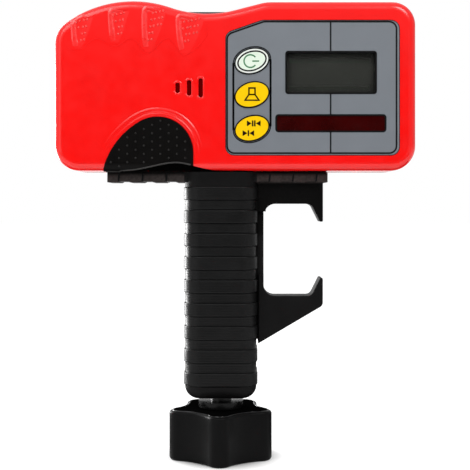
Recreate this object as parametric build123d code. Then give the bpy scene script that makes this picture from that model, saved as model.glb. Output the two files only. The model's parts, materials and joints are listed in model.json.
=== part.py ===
from build123d import *
import math
import os

# Laser detector on a levelling staff clamp, in millimetres.
# The origin is the centre of the knob's foot, on the screw's axis. +Z is up the handle,
# +X runs to the right along the detector, and the detector's face looks along -Y.

# Clearances
running_gap = 0.05
slide_gap = 0.3
seat_gap = 0.1
overcut = 1.0

# Star knob and its collar
knob_height = 23.3
knob_tip_r = 25.0
knob_lobe_r = 5.6
knob_valley_r = 19.0
knob_lobes = 5
knob_turn = -91.0
knob_top_round = 1.4
knob_foot_round = 1.8
collar_neck_r = 8.5
collar_neck = 0.6
collar_r = 10.6
collar_height = 3.1
collar_gap = 2.1

# Lead screw and drive nut
screw_r = 5.0
screw_head_flats = 17.0
screw_head_height = 6.0
screw_head_z = 8.0
nut_side = 16.0
nut_height = 20.0
clip_r = 7.4
clip_thick = 1.0
washer_r = 7.8
washer_thick = 1.2
bush_height = 6.0
bush_below_top = 10.0

# Handle
handle_length = 98.9
handle_width = 33.5
handle_depth = 29.4
handle_corner = 8.0
grip_thick = 2.8
rib_pitch = 10.8
rib_height = 6.0
rib_proud = 0.55
cap_height = 6.3
cap_round = 6.1
cap_boss = 5.6
pin_r = 1.2

# Clamp head with the platform and the fixed jaw
head_height = 6.9
platform_thick = 4.7
platform_length = 102.65
platform_depth = 22.0
platform_shift = -1.48
band_first = 16.27
band_pitch = 10.94
band_width = 5.75
band_proud = 0.5
head_screw_x = 10.9
head_screw_y = 8.2
head_screw_r = 1.6
head_screw_head_r = 3.0
head_screw_length = 16.0
head_screw_sink = 3.0

# Jaws
jaw_reach = 48.0
jaw_depth = 14.0
jaw_gap = 43.3
jaw_below_head = 7.84
jaw_travel_up = 9.0
jaw_travel_down = 18.0
tooth_height = 8.4
tooth_flat = 1.3
tooth_slope = 4.2
tooth_root_round = 3.0
tooth_tip_round = 0.55
jaw_corner_round = 5.2
jaw_corner_lip = 0.25
jaw_edge_round = 0.4
jaw_heel_round = 2.6
jaw_heel = 4.5
gusset_drop = 22.4
spine_thick = 3.5
spine_width = 10.0
spine_sunk = 0.1
spine_edge = 0.5
tongue_width = 8.0
tongue_height = 20.0
tongue_above_floor = 0.4
jaw_screw_r = 1.5
jaw_screw_head_r = 2.8
jaw_screw_sink = 3.0
jaw_screw_below = 3.2
jaw_screw_pitch = 6.0

# Detector case
case_length = 167.1
case_height = 78.6
case_depth = 34.0
case_shift = 6.7
case_wall = 2.5
case_round = 4.0
corner_top_right = 10.7
corner_bottom_right = 11.5
corner_bottom_left = 11.6
corner_top_left = 11.5
crest_from_left = 36.35
crest_r = 53.5
dip_from_crest = 34.2
dip_depth = 5.75
shoulder_r = 19.0
shoulder_from_dip = 29.7
shoulder_drop = 0.4
rear_dip_lift = 5.0
rear_depth = 7.0
seal_thick = 0.8
seal_width = 1.6
seal_inset = 0.5
swivel_gap = 0.55

# Finger dimples, each as distance from the case's left, drop from its top, width, height, lean
dimple_places = [(12.15, 15.5, 10.0, 16.2, 8), (29.2, 12.8, 9.4, 16.7, 7),
                 (45.05, 14.1, 11.1, 20.7, 9), (61.75, 16.4, 13.2, 17.9, 9)]
dimple_depth = 0.5

# Thumb pad and the arch below it
pad_from_left = 47.9
pad_height = 24.75
pad_left_r = 36.0
pad_right_r = 16.4
pad_lean = 30.0
pad_thick = 1.9
pad_proud = 0.4
pad_wrap = 6.0
arch_from_left = 30.85
arch_crest = 57.85
arch_end = 77.85
arch_rise = 3.5
arch_deep = 6.0

# Face panel, display, sensor window and keys
panel_from_right = 7.65
panel_from_bottom = 6.85
panel_width = 80.4
panel_height = 62.5
panel_corner = 4.1
panel_cut_x = 16.9
panel_cut_z = 5.9
panel_thick = 0.8
lcd_from_left = 27.8
lcd_from_bottom = 28.5
lcd_width = 41.8
lcd_height = 19.5
lcd_corner = 1.2
glass_thick = 1.2
glass_margin = 2.0
sensor_from_left = 23.4
sensor_from_bottom = 11.1
sensor_width = 50.4
sensor_height = 7.6
sensor_corner = 1.2
sensor_sink = 0.4
sensor_flange = 1.2
key_count = 3
key_from_left = 12.3
key_from_bottom = 12.6
key_pitch = 15.45
key_long = 7.95
key_short = 5.64
key_tilt = 17.0
key_proud = 0.6
key_round = 0.5
key_travel = 0.8
key_flange = 1.0
key_flange_thick = 1.2
key_stem_r = 1.8
switch_side = 7.0
switch_well = 1.6

# Speaker slots and buzzer
slot_from_panel = 16.6
slot_from_bottom = 38.05
slot_pitch = 5.3
slot_width = 2.0
slot_lengths = [4.8, 7.2, 8.9]
buzzer_r = 10.5
buzzer_height = 5.5
buzzer_rim = 1.4
buzzer_seat = 4.5

# Boards
board_thick = 1.6
board_gap = 7.5
board_side = 5.0
board_edge = 2.5
board_boss_r = 3.0
board_screw_r = 1.25
board_screw_head_r = 2.4
board_screw_head = 1.5
board_screw_inset = 4.0
board_screw_edge = 3.0
board_screw_bite = 3.75
board_boss_gap = 0.8
chip_side = 12.0
chip_thick = 1.4
chip_inset = 24.0
module_margin = 2.5
module_thick = 3.0
module_strip = 2.5
diode_count = 5
diode_size = 7.0
diode_thick = 2.0
sensor_board_thick = 1.2
sensor_board_gap = 2.6
sensor_pin_r = 1.0

# Case screws
post_r = 3.6
post_inset = 7.4
post_top_left = 18.0
post_shift = 1.0
case_screw_r = 1.45
case_screw_head_r = 2.9
case_screw_head = 1.8
case_screw_sink = 3.4
case_screw_bite = 12.0

# Batteries, their bay and its door
cell_r = 7.1
cell_length = 49.0
cell_nub_r = 2.75
cell_nub = 1.3
cell_gap = 0.5
cell_play = 0.3
bay_from_left = 10.5
bay_from_bottom = 17.0
bay_wall = 1.5
contact_thick = 0.5
contact_side = 10.0
spring_length = 6.2
spring_wide_r = 4.0
spring_narrow_r = 3.0
door_thick = 2.4
hinge_r = 1.5
hinge_pin_r = 0.75
hinge_pocket = 0.4
hinge_ear = 3.2
notch_width = 14.0
notch_depth = 1.2
notch_height = 3.0

# Swivel between the case and the clamp head
stud_r = 6.0
stud_flange = 16.0
stud_flange_thick = 3.0
stud_tail = 3.0
friction_r = 9.8

# Levels up the handle and across the case, worked out from the sizes above
collar_bottom = knob_height + collar_neck
handle_bottom = collar_bottom + collar_height + collar_gap
cap_top = handle_bottom + cap_height
handle_top = handle_bottom + handle_length
platform_top = handle_top + head_height
platform_bottom = platform_top - platform_thick
platform_left = platform_shift - platform_length / 2
platform_right = platform_shift + platform_length / 2
case_bottom = platform_top + swivel_gap
case_top = case_bottom + case_height
case_left = case_shift - case_length / 2
case_right = case_shift + case_length / 2
case_front = -case_depth / 2
case_back = case_depth / 2
seam_rear = case_back - rear_depth
seam_front = seam_rear - seal_thick
wall_front = case_front + case_wall
wall_back = case_back - case_wall
panel_left = case_right - panel_from_right - panel_width
panel_bottom = case_bottom + panel_from_bottom
panel_back = case_front + panel_thick
slot_x = panel_left - slot_from_panel
core_depth = handle_depth - 2 * grip_thick
channel_side = nut_side + 2 * slide_gap
spine_left = handle_width / 2 - spine_sunk
spine_right = spine_left + spine_thick
track_half = spine_width / 2 + slide_gap
track_turn = max(0, track_half - handle_depth / 2 + handle_corner)
rib_edge = handle_width / 2 - handle_corner + math.sqrt((handle_corner + rib_proud) ** 2 - track_turn ** 2)
jaw_left = rib_edge + slide_gap
upper_floor = handle_top - jaw_below_head
lower_floor = upper_floor - jaw_gap
spine_top = upper_floor + spine_edge
tongue_bottom = lower_floor + tongue_above_floor
tongue_top = tongue_bottom + tongue_height
nut_bottom = (tongue_bottom + tongue_top - nut_height) / 2
board_front = wall_front + board_gap
board_back = board_front + board_thick
glass_back = wall_front + glass_thick


def span(x, y, z):
    """A box between a low and a high limit on each axis."""
    size = [high - low for low, high in (x, y, z)]
    middle = [(high + low) / 2 for low, high in (x, y, z)]
    return Pos(*middle) * Box(*size)


def prism_y(face, low, high):
    """A sketch in X and Z, pushed through from one Y to another."""
    return extrude(Plane.XZ.offset(-high) * face, amount=high - low)


def prism_z(face, low, high):
    """A sketch in X and Y, raised from one Z to another."""
    return extrude(Plane.XY.offset(low) * face, amount=high - low)


def rod_x(radius, low, high, y, z):
    """A round bar along X."""
    return extrude(Plane.YZ.offset(low) * Pos(y, z) * Circle(radius), amount=high - low)


def rod_y(radius, low, high, x, z):
    """A round bar along Y."""
    return prism_y(Pos(x, z) * Circle(radius), low, high)


def rod_z(radius, low, high, x=0, y=0):
    """A round bar along Z."""
    return prism_z(Pos(x, y) * Circle(radius), low, high)


def arc(centre, start, end):
    """The shorter arc about a centre, from one point to another."""
    hub, first, last = Vector(*centre), Vector(*start), Vector(*end)
    outward = ((first - hub) + (last - hub)).normalized()
    return ThreePointArc(first, hub + outward * (first - hub).length, last)


def toward(start, end, distance):
    """The point that lies a distance from start on the way to end."""
    step = (Vector(*end) - Vector(*start)).normalized() * distance
    return (start[0] + step.X, start[1] + step.Y)


def offset_point(start, way, distance):
    """The point that lies a distance from start along a direction."""
    return (start[0] + way[0] * distance, start[1] + way[1] * distance)


def handle_section(grow):
    """The handle's rounded rectangle, grown or shrunk all round."""
    return RectangleRounded(handle_width + 2 * grow, handle_depth + 2 * grow, handle_corner + grow)


def case_outline(inset, dip=dip_depth):
    """The case's front outline: a finger crest and a dip on top, rounded corners elsewhere."""
    left, right = case_left + inset, case_right - inset
    bottom, top = case_bottom + inset, case_top - shoulder_drop - inset
    crest_x = case_left + crest_from_left
    crest = (crest_x, case_top - crest_r)
    dip_r = (dip_from_crest ** 2 + dip ** 2) / (2 * dip) - crest_r
    hollow = (crest_x + dip_from_crest, case_top - dip + dip_r)
    shoulder_x = hollow[0] + shoulder_from_dip
    shoulder = (shoulder_x, case_top - shoulder_drop - shoulder_r)
    between = math.dist(hollow, shoulder)
    spread = math.acos(min(1, (dip_r + shoulder_r) / between))
    slope = math.atan2(shoulder[0] - hollow[0], hollow[1] - shoulder[1]) - spread
    down = (math.sin(slope), -math.cos(slope))
    corner_x = case_left + corner_top_left
    rise = math.sqrt((crest_r - corner_top_left) ** 2 - (corner_x - crest_x) ** 2)
    corner = (corner_x, crest[1] + rise)
    top_right = (case_right - corner_top_right, case_top - shoulder_drop - corner_top_right)
    low_right = (case_right - corner_bottom_right, case_bottom + corner_bottom_right)
    low_left = (case_left + corner_bottom_left, case_bottom + corner_bottom_left)
    shoulder_foot = offset_point(shoulder, down, inset - shoulder_r)
    hollow_end = offset_point(hollow, down, dip_r + inset)
    crest_foot = toward(crest, hollow, crest_r - inset)
    crest_start = toward(crest, corner, crest_r - inset)
    return make_face([
        Line((low_left[0], bottom), (low_right[0], bottom)),
        arc(low_right, (low_right[0], bottom), (right, low_right[1])),
        Line((right, low_right[1]), (right, top_right[1])),
        arc(top_right, (right, top_right[1]), (top_right[0], top)),
        Line((top_right[0], top), (shoulder_x, top)),
        arc(shoulder, (shoulder_x, top), shoulder_foot),
        Line(shoulder_foot, hollow_end),
        arc(hollow, hollow_end, crest_foot),
        arc(crest, crest_foot, crest_start),
        arc(corner, crest_start, (left, corner[1])),
        Line((left, corner[1]), (left, low_left[1])),
        arc(low_left, (left, low_left[1]), (low_left[0], bottom)),
    ])


def case_front_body(inset):
    """The front half's solid form with its rounded face edge, shrunk by an inset."""
    body = prism_y(case_outline(inset), case_front + inset, seam_front)
    return fillet(body.faces().sort_by(Axis.Y)[0].edges(), case_round - inset)


def panel_outline(inset):
    """The face panel's outline, with its upper left corner cut off."""
    left, right = panel_left + inset, panel_left + panel_width - inset
    bottom, top = panel_bottom + inset, panel_bottom + panel_height - inset
    corners = [(left, bottom), (right, bottom), (right, top),
               (left + panel_cut_x, top), (left, top - panel_cut_z)]
    face = make_face(Polyline(*corners, close=True))
    return fillet(face.vertices(), panel_corner - inset)


def window(from_left, from_bottom, width, height, corner, grow=0.0):
    """A rounded rectangle placed on the panel by its lower left corner."""
    middle_x = panel_left + from_left + width / 2
    middle_z = panel_bottom + from_bottom + height / 2
    return Pos(middle_x, middle_z) * RectangleRounded(width + 2 * grow, height + 2 * grow, corner + grow)


def lcd_opening(grow=0.0):
    """The display's window in the panel."""
    return window(lcd_from_left, lcd_from_bottom, lcd_width, lcd_height, lcd_corner, grow)


def sensor_opening(grow=0.0):
    """The laser sensor's window in the panel."""
    return window(sensor_from_left, sensor_from_bottom, sensor_width, sensor_height, sensor_corner, grow)


def key_place(row):
    """The middle of a key, counted from the lowest."""
    return (panel_left + key_from_left, panel_bottom + key_from_bottom + row * key_pitch)


def key_oval(row, grow=0.0):
    """A key's tilted oval."""
    return Pos(*key_place(row)) * Rot(0, 0, key_tilt) * Ellipse(key_long + grow, key_short + grow)


def pad_outline(grow=0.0):
    """The thumb pad's half round: a long left flank that runs into a tighter right one."""
    low = case_bottom - 2 * case_wall
    lean = math.radians(pad_lean)
    way = (-math.sin(lean), math.cos(lean))
    right_centre = (case_left + pad_from_left, case_bottom + pad_height - pad_right_r)
    left_centre = offset_point(right_centre, way, pad_right_r - pad_left_r)
    join = offset_point(right_centre, way, pad_right_r + grow)
    reach = math.sqrt((pad_left_r + grow) ** 2 - (low - left_centre[1]) ** 2)
    left_foot = (left_centre[0] - reach, low)
    right_foot = (right_centre[0] + pad_right_r + grow, right_centre[1])
    return make_face([
        arc(left_centre, left_foot, join),
        arc(right_centre, join, right_foot),
        Line(right_foot, (right_foot[0], low)),
        Line((right_foot[0], low), left_foot),
    ])


def arch():
    """The shallow arch cut from the case's lower front edge."""
    low = case_bottom - 2 * case_wall
    start = (case_left + arch_from_left, case_bottom)
    crest = (case_left + arch_crest, case_bottom + arch_rise)
    end = (case_left + arch_end, case_bottom)
    face = make_face([
        Spline(start, crest, end, tangents=[(1, 0), (1, 0)]),
        Line(end, (end[0], low)),
        Line((end[0], low), (start[0], low)),
        Line((start[0], low), start),
    ])
    return prism_y(face, case_front - case_wall, case_front + arch_deep)


def pad_block(grow=0.0):
    """The space of the thumb pad, through the face and a little way under the case."""
    return prism_y(pad_outline(grow), case_front - case_wall, case_front + pad_wrap + grow)


def dimple(from_left, drop, width, height, lean):
    """A cone that cuts one finger dimple into the case's face, deepest at its upper end."""
    reach = (width ** 2 / 4 - dimple_depth ** 2) / (2 * dimple_depth)
    place = Pos(case_left + from_left, case_front - reach, case_top - drop)
    seam_away = Rot(0, 0, -90)
    return place * Rot(0, lean, 0) * seam_away * Cone(reach, reach + dimple_depth, height)


def speaker_slots():
    """Three upright slots of growing length."""
    slots = []
    for place, length in enumerate(slot_lengths):
        x = slot_x + (place - (len(slot_lengths) - 1) / 2) * slot_pitch
        z = case_bottom + slot_from_bottom
        slots.append(Pos(x, z) * Rot(0, 0, 90) * SlotOverall(length, slot_width))
    return prism_y(Sketch() + slots, case_front, wall_front)


def post_places():
    """Where the case screws stand, near the corners of the case."""
    low = case_bottom + post_inset
    return [(case_left + post_inset, low), (case_right - post_inset, low),
            (case_right - post_inset, case_top - post_inset),
            (case_left + post_inset + post_shift, case_top - post_top_left)]


def board_limits():
    """The main board's low and high X and Z, inside the panel's edges."""
    x = (panel_left + board_side, panel_left + panel_width - board_side)
    z = (panel_bottom + board_edge, panel_bottom + panel_height - board_edge)
    return x, z


def board_screw_places():
    """Where the main board is screwed to its bosses."""
    x, z = board_limits()
    beside_keys = key_place(0)[0] + key_long + key_flange + board_boss_r + board_boss_gap
    columns = (beside_keys, x[1] - board_screw_inset)
    rows = (z[0] + board_screw_edge, z[1] - board_screw_edge)
    return [(column, row) for column in columns for row in rows]


def bay_limits():
    """The battery bay's inner low and high limits on X, Y and Z."""
    length = cell_length + cell_nub + spring_length + 2 * contact_thick
    height = 4 * cell_r + cell_gap + 2 * cell_play
    x = (case_left + bay_from_left, case_left + bay_from_left + length)
    y = (case_back - door_thick - 2 * cell_play - 2 * cell_r, wall_back)
    z = (case_bottom + bay_from_bottom, case_bottom + bay_from_bottom + height)
    return x, y, z


def hinge_place():
    """The Y and Z of the battery door's hinge pin, just under the bay."""
    z = bay_limits()[2]
    return case_back - hinge_r, z[0] - hinge_r


def stud_floor():
    """The inner floor of the case, where the swivel stud's flange sits."""
    return case_bottom + case_wall


def front_shell():
    """The red front half: a hollow tray with the face's openings, posts and bosses."""
    shell = case_front_body(0)
    cavity = case_front_body(case_wall)
    fill_x = (case_left + arch_from_left - case_wall, case_left + arch_end + case_wall)
    fill_y = (case_front, case_front + arch_deep + case_wall)
    fill_z = (case_bottom, case_bottom + arch_rise + case_wall)
    shell -= cavity - span(fill_x, fill_y, fill_z)
    for x, z in post_places():
        shell += rod_y(post_r, wall_front, seam_front, x, z)
    for x, z in board_screw_places():
        shell += rod_y(board_boss_r, wall_front, board_front, x, z)
    buzzer_z = case_bottom + slot_from_bottom
    seat_back = wall_front + buzzer_seat
    shell += rod_y(buzzer_r + seat_gap + buzzer_rim, wall_front, seat_back, slot_x, buzzer_z)
    shell -= rod_y(buzzer_r + seat_gap, wall_front, seat_back, slot_x, buzzer_z)
    for x, z in post_places():
        shell -= rod_y(case_screw_r + seat_gap / 2, seam_front - case_screw_bite, seam_front, x, z)
    for x, z in board_screw_places():
        shell -= rod_y(board_screw_r + seat_gap / 2, wall_front, board_front, x, z)
    shell -= prism_y(panel_outline(0), case_front, panel_back)
    shell -= prism_y(lcd_opening(), case_front, wall_front)
    shell -= prism_y(sensor_opening(seat_gap), case_front, wall_front)
    for row in range(key_count):
        shell -= prism_y(key_oval(row, slide_gap), case_front, wall_front)
    shell -= speaker_slots()
    for place in dimple_places:
        shell -= dimple(*place)
    shell -= pad_block(seat_gap) - case_front_body(pad_thick - pad_proud)
    shell -= arch()
    return shell - rod_z(stud_r + seat_gap, case_bottom - overcut, stud_floor() + overcut)


def rear_cover():
    """The black rear cover with the battery bay, the hinge ears and the screw posts."""
    dip = dip_depth - rear_dip_lift
    cover = prism_y(case_outline(0, dip), seam_rear, case_back)
    cover = fillet(cover.faces().sort_by(Axis.Y)[-1].edges(), case_round)
    cover -= prism_y(case_outline(case_wall), seam_rear, wall_back)
    x, y, z = bay_limits()
    outer_x = (x[0] - bay_wall, x[1] + bay_wall)
    outer_z = (z[0] - bay_wall, z[1] + bay_wall)
    hinge_y, hinge_z = hinge_place()
    pocket = hinge_r + hinge_pocket
    ear_x = (x[0] - hinge_ear - bay_wall, x[1] + hinge_ear + bay_wall)
    cover += span(outer_x, (y[0] - bay_wall, wall_back), outer_z)
    cover += span(ear_x, (hinge_y - pocket - bay_wall, wall_back), (hinge_z - pocket - bay_wall, z[0]))
    for post_x, post_z in post_places():
        cover += rod_y(post_r, seam_rear, wall_back, post_x, post_z)
    cover -= span(x, (y[0], case_back), z)
    cover -= span(x, (hinge_y - pocket, case_back), (hinge_z - pocket, z[0]))
    cover -= rod_x(hinge_pin_r + running_gap / 2, x[0] - hinge_ear, x[1] + hinge_ear, hinge_y, hinge_z)
    middle = (x[0] + x[1]) / 2
    notch_x = (middle - notch_width / 2, middle + notch_width / 2)
    cover -= span(notch_x, (case_back - notch_depth, case_back), (z[1], z[1] + notch_height))
    for post_x, post_z in post_places():
        cover -= rod_y(case_screw_r + seat_gap, seam_rear, case_back, post_x, post_z)
        cover -= rod_y(case_screw_head_r + seat_gap, case_back - case_screw_sink, case_back, post_x, post_z)
    return cover


def case_seal():
    """The thin gasket between the two halves of the case."""
    ring = case_outline(seal_inset) - case_outline(seal_inset + seal_width)
    return prism_y(ring, seam_front, seam_rear)


def face_panel():
    """The grey overlay, with holes for the display, the sensor window and the keys."""
    holes = [lcd_opening(), sensor_opening(seat_gap)]
    holes += [key_oval(row, slide_gap) for row in range(key_count)]
    return prism_y(panel_outline(seat_gap) - holes, case_front, panel_back)


def lcd_window():
    """The clear plate behind the display's opening."""
    return prism_y(lcd_opening(glass_margin), wall_front, glass_back)


def lcd_module():
    """The display cell on its two contact strips, standing on the main board."""
    outline = lcd_opening(module_margin - glass_margin)
    module = prism_y(outline, glass_back, glass_back + module_thick)
    box = module.bounding_box()
    strip_y = (glass_back + module_thick, board_front)
    for low in (box.min.Z + module_strip, box.max.Z - 2 * module_strip):
        strip_x = (box.min.X + module_strip, box.max.X - module_strip)
        module += span(strip_x, strip_y, (low, low + module_strip))
    return module


def sensor_window():
    """The dark red filter with the flange that holds it behind the face."""
    filter_plate = prism_y(sensor_opening(), case_front + sensor_sink, wall_front)
    return filter_plate + prism_y(sensor_opening(sensor_flange), wall_front, glass_back)


def sensor_board():
    """A narrow board with a row of photodiodes, standing on the main board."""
    front = board_front - sensor_board_gap - sensor_board_thick
    strip = prism_y(sensor_opening(), front, front + sensor_board_thick)
    middle_x = panel_left + sensor_from_left + sensor_width / 2
    middle_z = panel_bottom + sensor_from_bottom + sensor_height / 2
    step = sensor_width / diode_count
    half = diode_size / 2
    diode_y = (front - diode_thick, front)
    for place in range(diode_count):
        x = middle_x + (place - (diode_count - 1) / 2) * step
        strip += span((x - half, x + half), diode_y, (middle_z - half, middle_z + half))
    for x in (middle_x - step, middle_x + step):
        strip += rod_y(sensor_pin_r, front + sensor_board_thick, board_front, x, middle_z)
    return strip


def main_board():
    """The circuit board with its two chips, carried on four bosses."""
    x, z = board_limits()
    board = span(x, (board_front, board_back), z)
    half = chip_side / 2
    chip_y = (board_back, board_back + chip_thick)
    chip_z = (z[0] + z[1]) / 2
    for chip_x in (x[0] + chip_inset, x[1] - chip_inset):
        board += span((chip_x - half, chip_x + half), chip_y, (chip_z - half, chip_z + half))
    for screw_x, screw_z in board_screw_places():
        board -= rod_y(board_screw_r + seat_gap / 2, board_front, board_back, screw_x, screw_z)
    return board


def board_screws():
    """Four small screws that hold the main board on its bosses."""
    screws = []
    for x, z in board_screw_places():
        shank = rod_y(board_screw_r, board_front - board_screw_bite, board_back, x, z)
        screws.append(shank + rod_y(board_screw_head_r, board_back, board_back + board_screw_head, x, z))
    return Compound(children=screws)


def switch_front():
    """The front face of the key switches, behind the keys' flanges at full travel."""
    return wall_front + seat_gap + key_flange_thick + key_travel + slide_gap


def key_switches():
    """Three switch bodies on the main board, each with a well for a key's stem."""
    switches = []
    half = switch_side / 2
    for row in range(key_count):
        x, z = key_place(row)
        body = span((x - half, x + half), (switch_front(), board_front), (z - half, z + half))
        well_back = switch_front() + switch_well + key_travel + slide_gap
        switches.append(body - rod_y(key_stem_r + slide_gap, switch_front(), well_back, x, z))
    return Compound(children=switches)


def key(row):
    """A tilted oval key: a cap in the panel, a flange behind the wall and a stem in its switch."""
    x, z = key_place(row)
    cap = prism_y(key_oval(row), case_front - key_proud, wall_front + seat_gap)
    cap = fillet(cap.faces().sort_by(Axis.Y)[0].edges(), key_round)
    flange_front = wall_front + seat_gap
    flange_back = flange_front + key_flange_thick
    flange = prism_y(key_oval(row, key_flange), flange_front, flange_back)
    return cap + flange + rod_y(key_stem_r, flange_back, switch_front() + switch_well, x, z)


def buzzer():
    """The round sounder behind the speaker slots."""
    z = case_bottom + slot_from_bottom
    return rod_y(buzzer_r, wall_front, wall_front + buzzer_height, slot_x, z)


def thumb_pad():
    """The rubber pad, a layer over the case's face that wraps round its lower edge."""
    pad = pad_block() & case_front_body(-pad_proud)
    pad -= case_front_body(pad_thick - pad_proud)
    return pad - arch()


def case_screws():
    """Four screws from the rear cover into the front half's posts."""
    screws = []
    seat = case_back - case_screw_sink
    for x, z in post_places():
        shank = rod_y(case_screw_r, seam_front - case_screw_bite + slide_gap, seat, x, z)
        screws.append(shank + rod_y(case_screw_head_r, seat, seat + case_screw_head, x, z))
    return Compound(children=screws)


def cell_rows():
    """The Z of each cell and which way its nub points."""
    z = bay_limits()[2]
    low = z[0] + cell_play + cell_r
    return [(low, 1), (low + 2 * cell_r + cell_gap, -1)]


def battery_cells():
    """Two round cells side by side, pointing opposite ways."""
    x, y = bay_limits()[:2]
    centre_y = y[0] + cell_play + cell_r
    cells = []
    for cell_z, way in cell_rows():
        nub_end = x[1] - contact_thick if way > 0 else x[0] + contact_thick
        shoulder = nub_end - way * cell_nub
        tail = shoulder - way * cell_length
        body = rod_x(cell_r, min(shoulder, tail), max(shoulder, tail), centre_y, cell_z)
        nub = rod_x(cell_nub_r, min(nub_end, shoulder), max(nub_end, shoulder), centre_y, cell_z)
        cells.append(body + nub)
    return Compound(children=cells)


def battery_contacts():
    """End plates in the bay, with a tapered spring at each cell's flat end."""
    x, y = bay_limits()[:2]
    centre_y = y[0] + cell_play + cell_r
    half = contact_side / 2
    contacts = []
    for cell_z, way in cell_rows():
        plate_y = (centre_y - half, centre_y + half)
        plate_z = (cell_z - half, cell_z + half)
        low_plate = span((x[0], x[0] + contact_thick), plate_y, plate_z)
        high_plate = span((x[1] - contact_thick, x[1]), plate_y, plate_z)
        foot = x[0] + contact_thick if way > 0 else x[1] - contact_thick
        on_foot = (Align.CENTER, Align.CENTER, Align.MIN)
        cone = Cone(spring_wide_r, spring_narrow_r, spring_length, align=on_foot)
        spring = Pos(foot, centre_y, cell_z) * Rot(0, 90 * way, 0) * cone
        if way > 0:
            low_plate += spring
        else:
            high_plate += spring
        contacts += [low_plate, high_plate]
    return Compound(children=contacts)


def battery_door():
    """The bay's lid, with a hinge barrel along its lower edge."""
    x, _, z = bay_limits()
    hinge_y, hinge_z = hinge_place()
    door_x = (x[0] + slide_gap, x[1] - slide_gap)
    door = span(door_x, (case_back - door_thick, case_back), (hinge_z, z[1] - slide_gap))
    door += rod_x(hinge_r, *door_x, hinge_y, hinge_z)
    return door - rod_x(hinge_pin_r + running_gap, *door_x, hinge_y, hinge_z)


def door_pin():
    """The pin that the battery door turns on, fixed in the rear cover's ears."""
    x = bay_limits()[0]
    hinge_y, hinge_z = hinge_place()
    return rod_x(hinge_pin_r, x[0] - hinge_ear, x[1] + hinge_ear, hinge_y, hinge_z)


def swivel_stud():
    """The stud that carries the case: a square flange inside it and a round shank through the head."""
    shank = rod_z(stud_r, handle_top - stud_tail, stud_floor())
    half = stud_flange / 2
    flange = span((-half, half), (-half, half), (stud_floor(), stud_floor() + stud_flange_thick))
    groove_top = handle_top - slide_gap
    groove = rod_z(stud_r, groove_top - clip_thick, groove_top)
    groove -= rod_z(stud_r - clip_thick, groove_top - clip_thick, groove_top)
    return shank + flange - groove


def stud_clip():
    """The spring clip under the clamp head that keeps the stud in."""
    top = handle_top - slide_gap
    return clip_ring(stud_r - clip_thick, top - clip_thick, top)


def clip_ring(inner_r, low, high):
    """An open ring that snaps into a groove."""
    ring = rod_z(clip_r, low, high) - rod_z(inner_r, low, high)
    return ring - span((0, clip_r + overcut), (-inner_r / 2, inner_r / 2), (low, high))


def friction_washer():
    """The thin disc that the case turns on."""
    ring = rod_z(friction_r, platform_top, case_bottom - seat_gap)
    return ring - rod_z(stud_r + slide_gap, platform_top, case_bottom - seat_gap)


def jaw_tooth(root_x, floor, way):
    """The points of a jaw's edge from its tip side along the hooked tooth to the floor."""
    tip = floor + way * tooth_height
    inner = jaw_reach - tooth_flat - tooth_slope
    return [(jaw_reach, tip), (jaw_reach - tooth_flat, tip), (inner, floor), (root_x, floor)]


def upper_jaw():
    """The fixed jaw that hangs under the platform, with its hooked tooth and inner corner."""
    root = spine_right + slide_gap
    corner = jaw_corner_round
    blunt = jaw_corner_lip
    centre = (root + corner, upper_floor - corner)
    low = centre[1] + math.sqrt(corner ** 2 - (corner - blunt) ** 2)
    high = platform_top - platform_thick / 2
    points = jaw_tooth(root + corner, upper_floor, -1)
    face = make_face([
        Line((root, high), (jaw_reach, high)),
        Line((jaw_reach, high), points[0]),
        Line(points[0], points[1]),
        Line(points[1], points[2]),
        Line(points[2], points[3]),
        arc(centre, points[3], (root + blunt, low)),
        Line((root + blunt, low), (root, low)),
        Line((root, low), (root, high)),
    ])
    face = fillet(nearest_vertices(face, points[2:3]), tooth_root_round)
    face = fillet(nearest_vertices(face, points[0:2]), tooth_tip_round)
    return prism_y(face, -jaw_depth / 2, jaw_depth / 2), low


def nearest_vertices(face, places):
    """The corners of a flat face that lie at the given places."""
    return [min(face.vertices(), key=lambda v: (v.X - x) ** 2 + (v.Y - z) ** 2) for x, z in places]


def head_screw_places():
    """Where the clamp head is screwed down on the handle."""
    return [(x, y) for x in (-head_screw_x, head_screw_x) for y in (-head_screw_y, head_screw_y)]


def clamp_head():
    """Platform, head block and fixed jaw in one moulding."""
    half = platform_depth / 2
    whole = span((platform_left, platform_right), (-half, half), (platform_bottom, platform_top))
    head = span((platform_left, platform_right), (band_proud - half, half - band_proud),
                (platform_bottom + band_proud, platform_top))
    count = round((platform_length / 2 - band_first) / band_pitch) + 1
    for side in (-1, 1):
        for place in range(count):
            middle = platform_shift + side * (band_first + place * band_pitch)
            band = span((middle - band_width / 2, middle + band_width / 2), (-half, half),
                        (platform_bottom, platform_top))
            head += band & whole
    head += prism_z(handle_section(0), handle_top, platform_top)
    jaw, jaw_low = upper_jaw()
    head += jaw
    wing = jaw_depth / 2
    wing_x = (jaw_left, spine_right + overcut)
    head += span(wing_x, (-wing, wing), (jaw_low, platform_top - platform_thick / 2))
    pocket_top = spine_top + jaw_travel_up + slide_gap
    pocket_x = (spine_left - slide_gap, spine_right + slide_gap)
    head -= span(pocket_x, (-track_half, track_half), (jaw_low - overcut, pocket_top))
    head -= rod_z(stud_r + running_gap, handle_top, platform_top)
    for x, y in head_screw_places():
        head -= rod_z(head_screw_r + seat_gap / 2, handle_top, platform_top, x, y)
        head -= rod_z(head_screw_head_r + seat_gap, platform_top - head_screw_sink, platform_top, x, y)
    return head


def head_screws():
    """Four screws that hold the clamp head on the handle's core."""
    screws = []
    seat = platform_top - head_screw_sink
    for x, y in head_screw_places():
        shank = rod_z(head_screw_r, seat - head_screw_length, seat, x, y)
        screws.append(shank + rod_z(head_screw_head_r, seat, platform_top - seat_gap, x, y))
    return Compound(children=screws)


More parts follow.
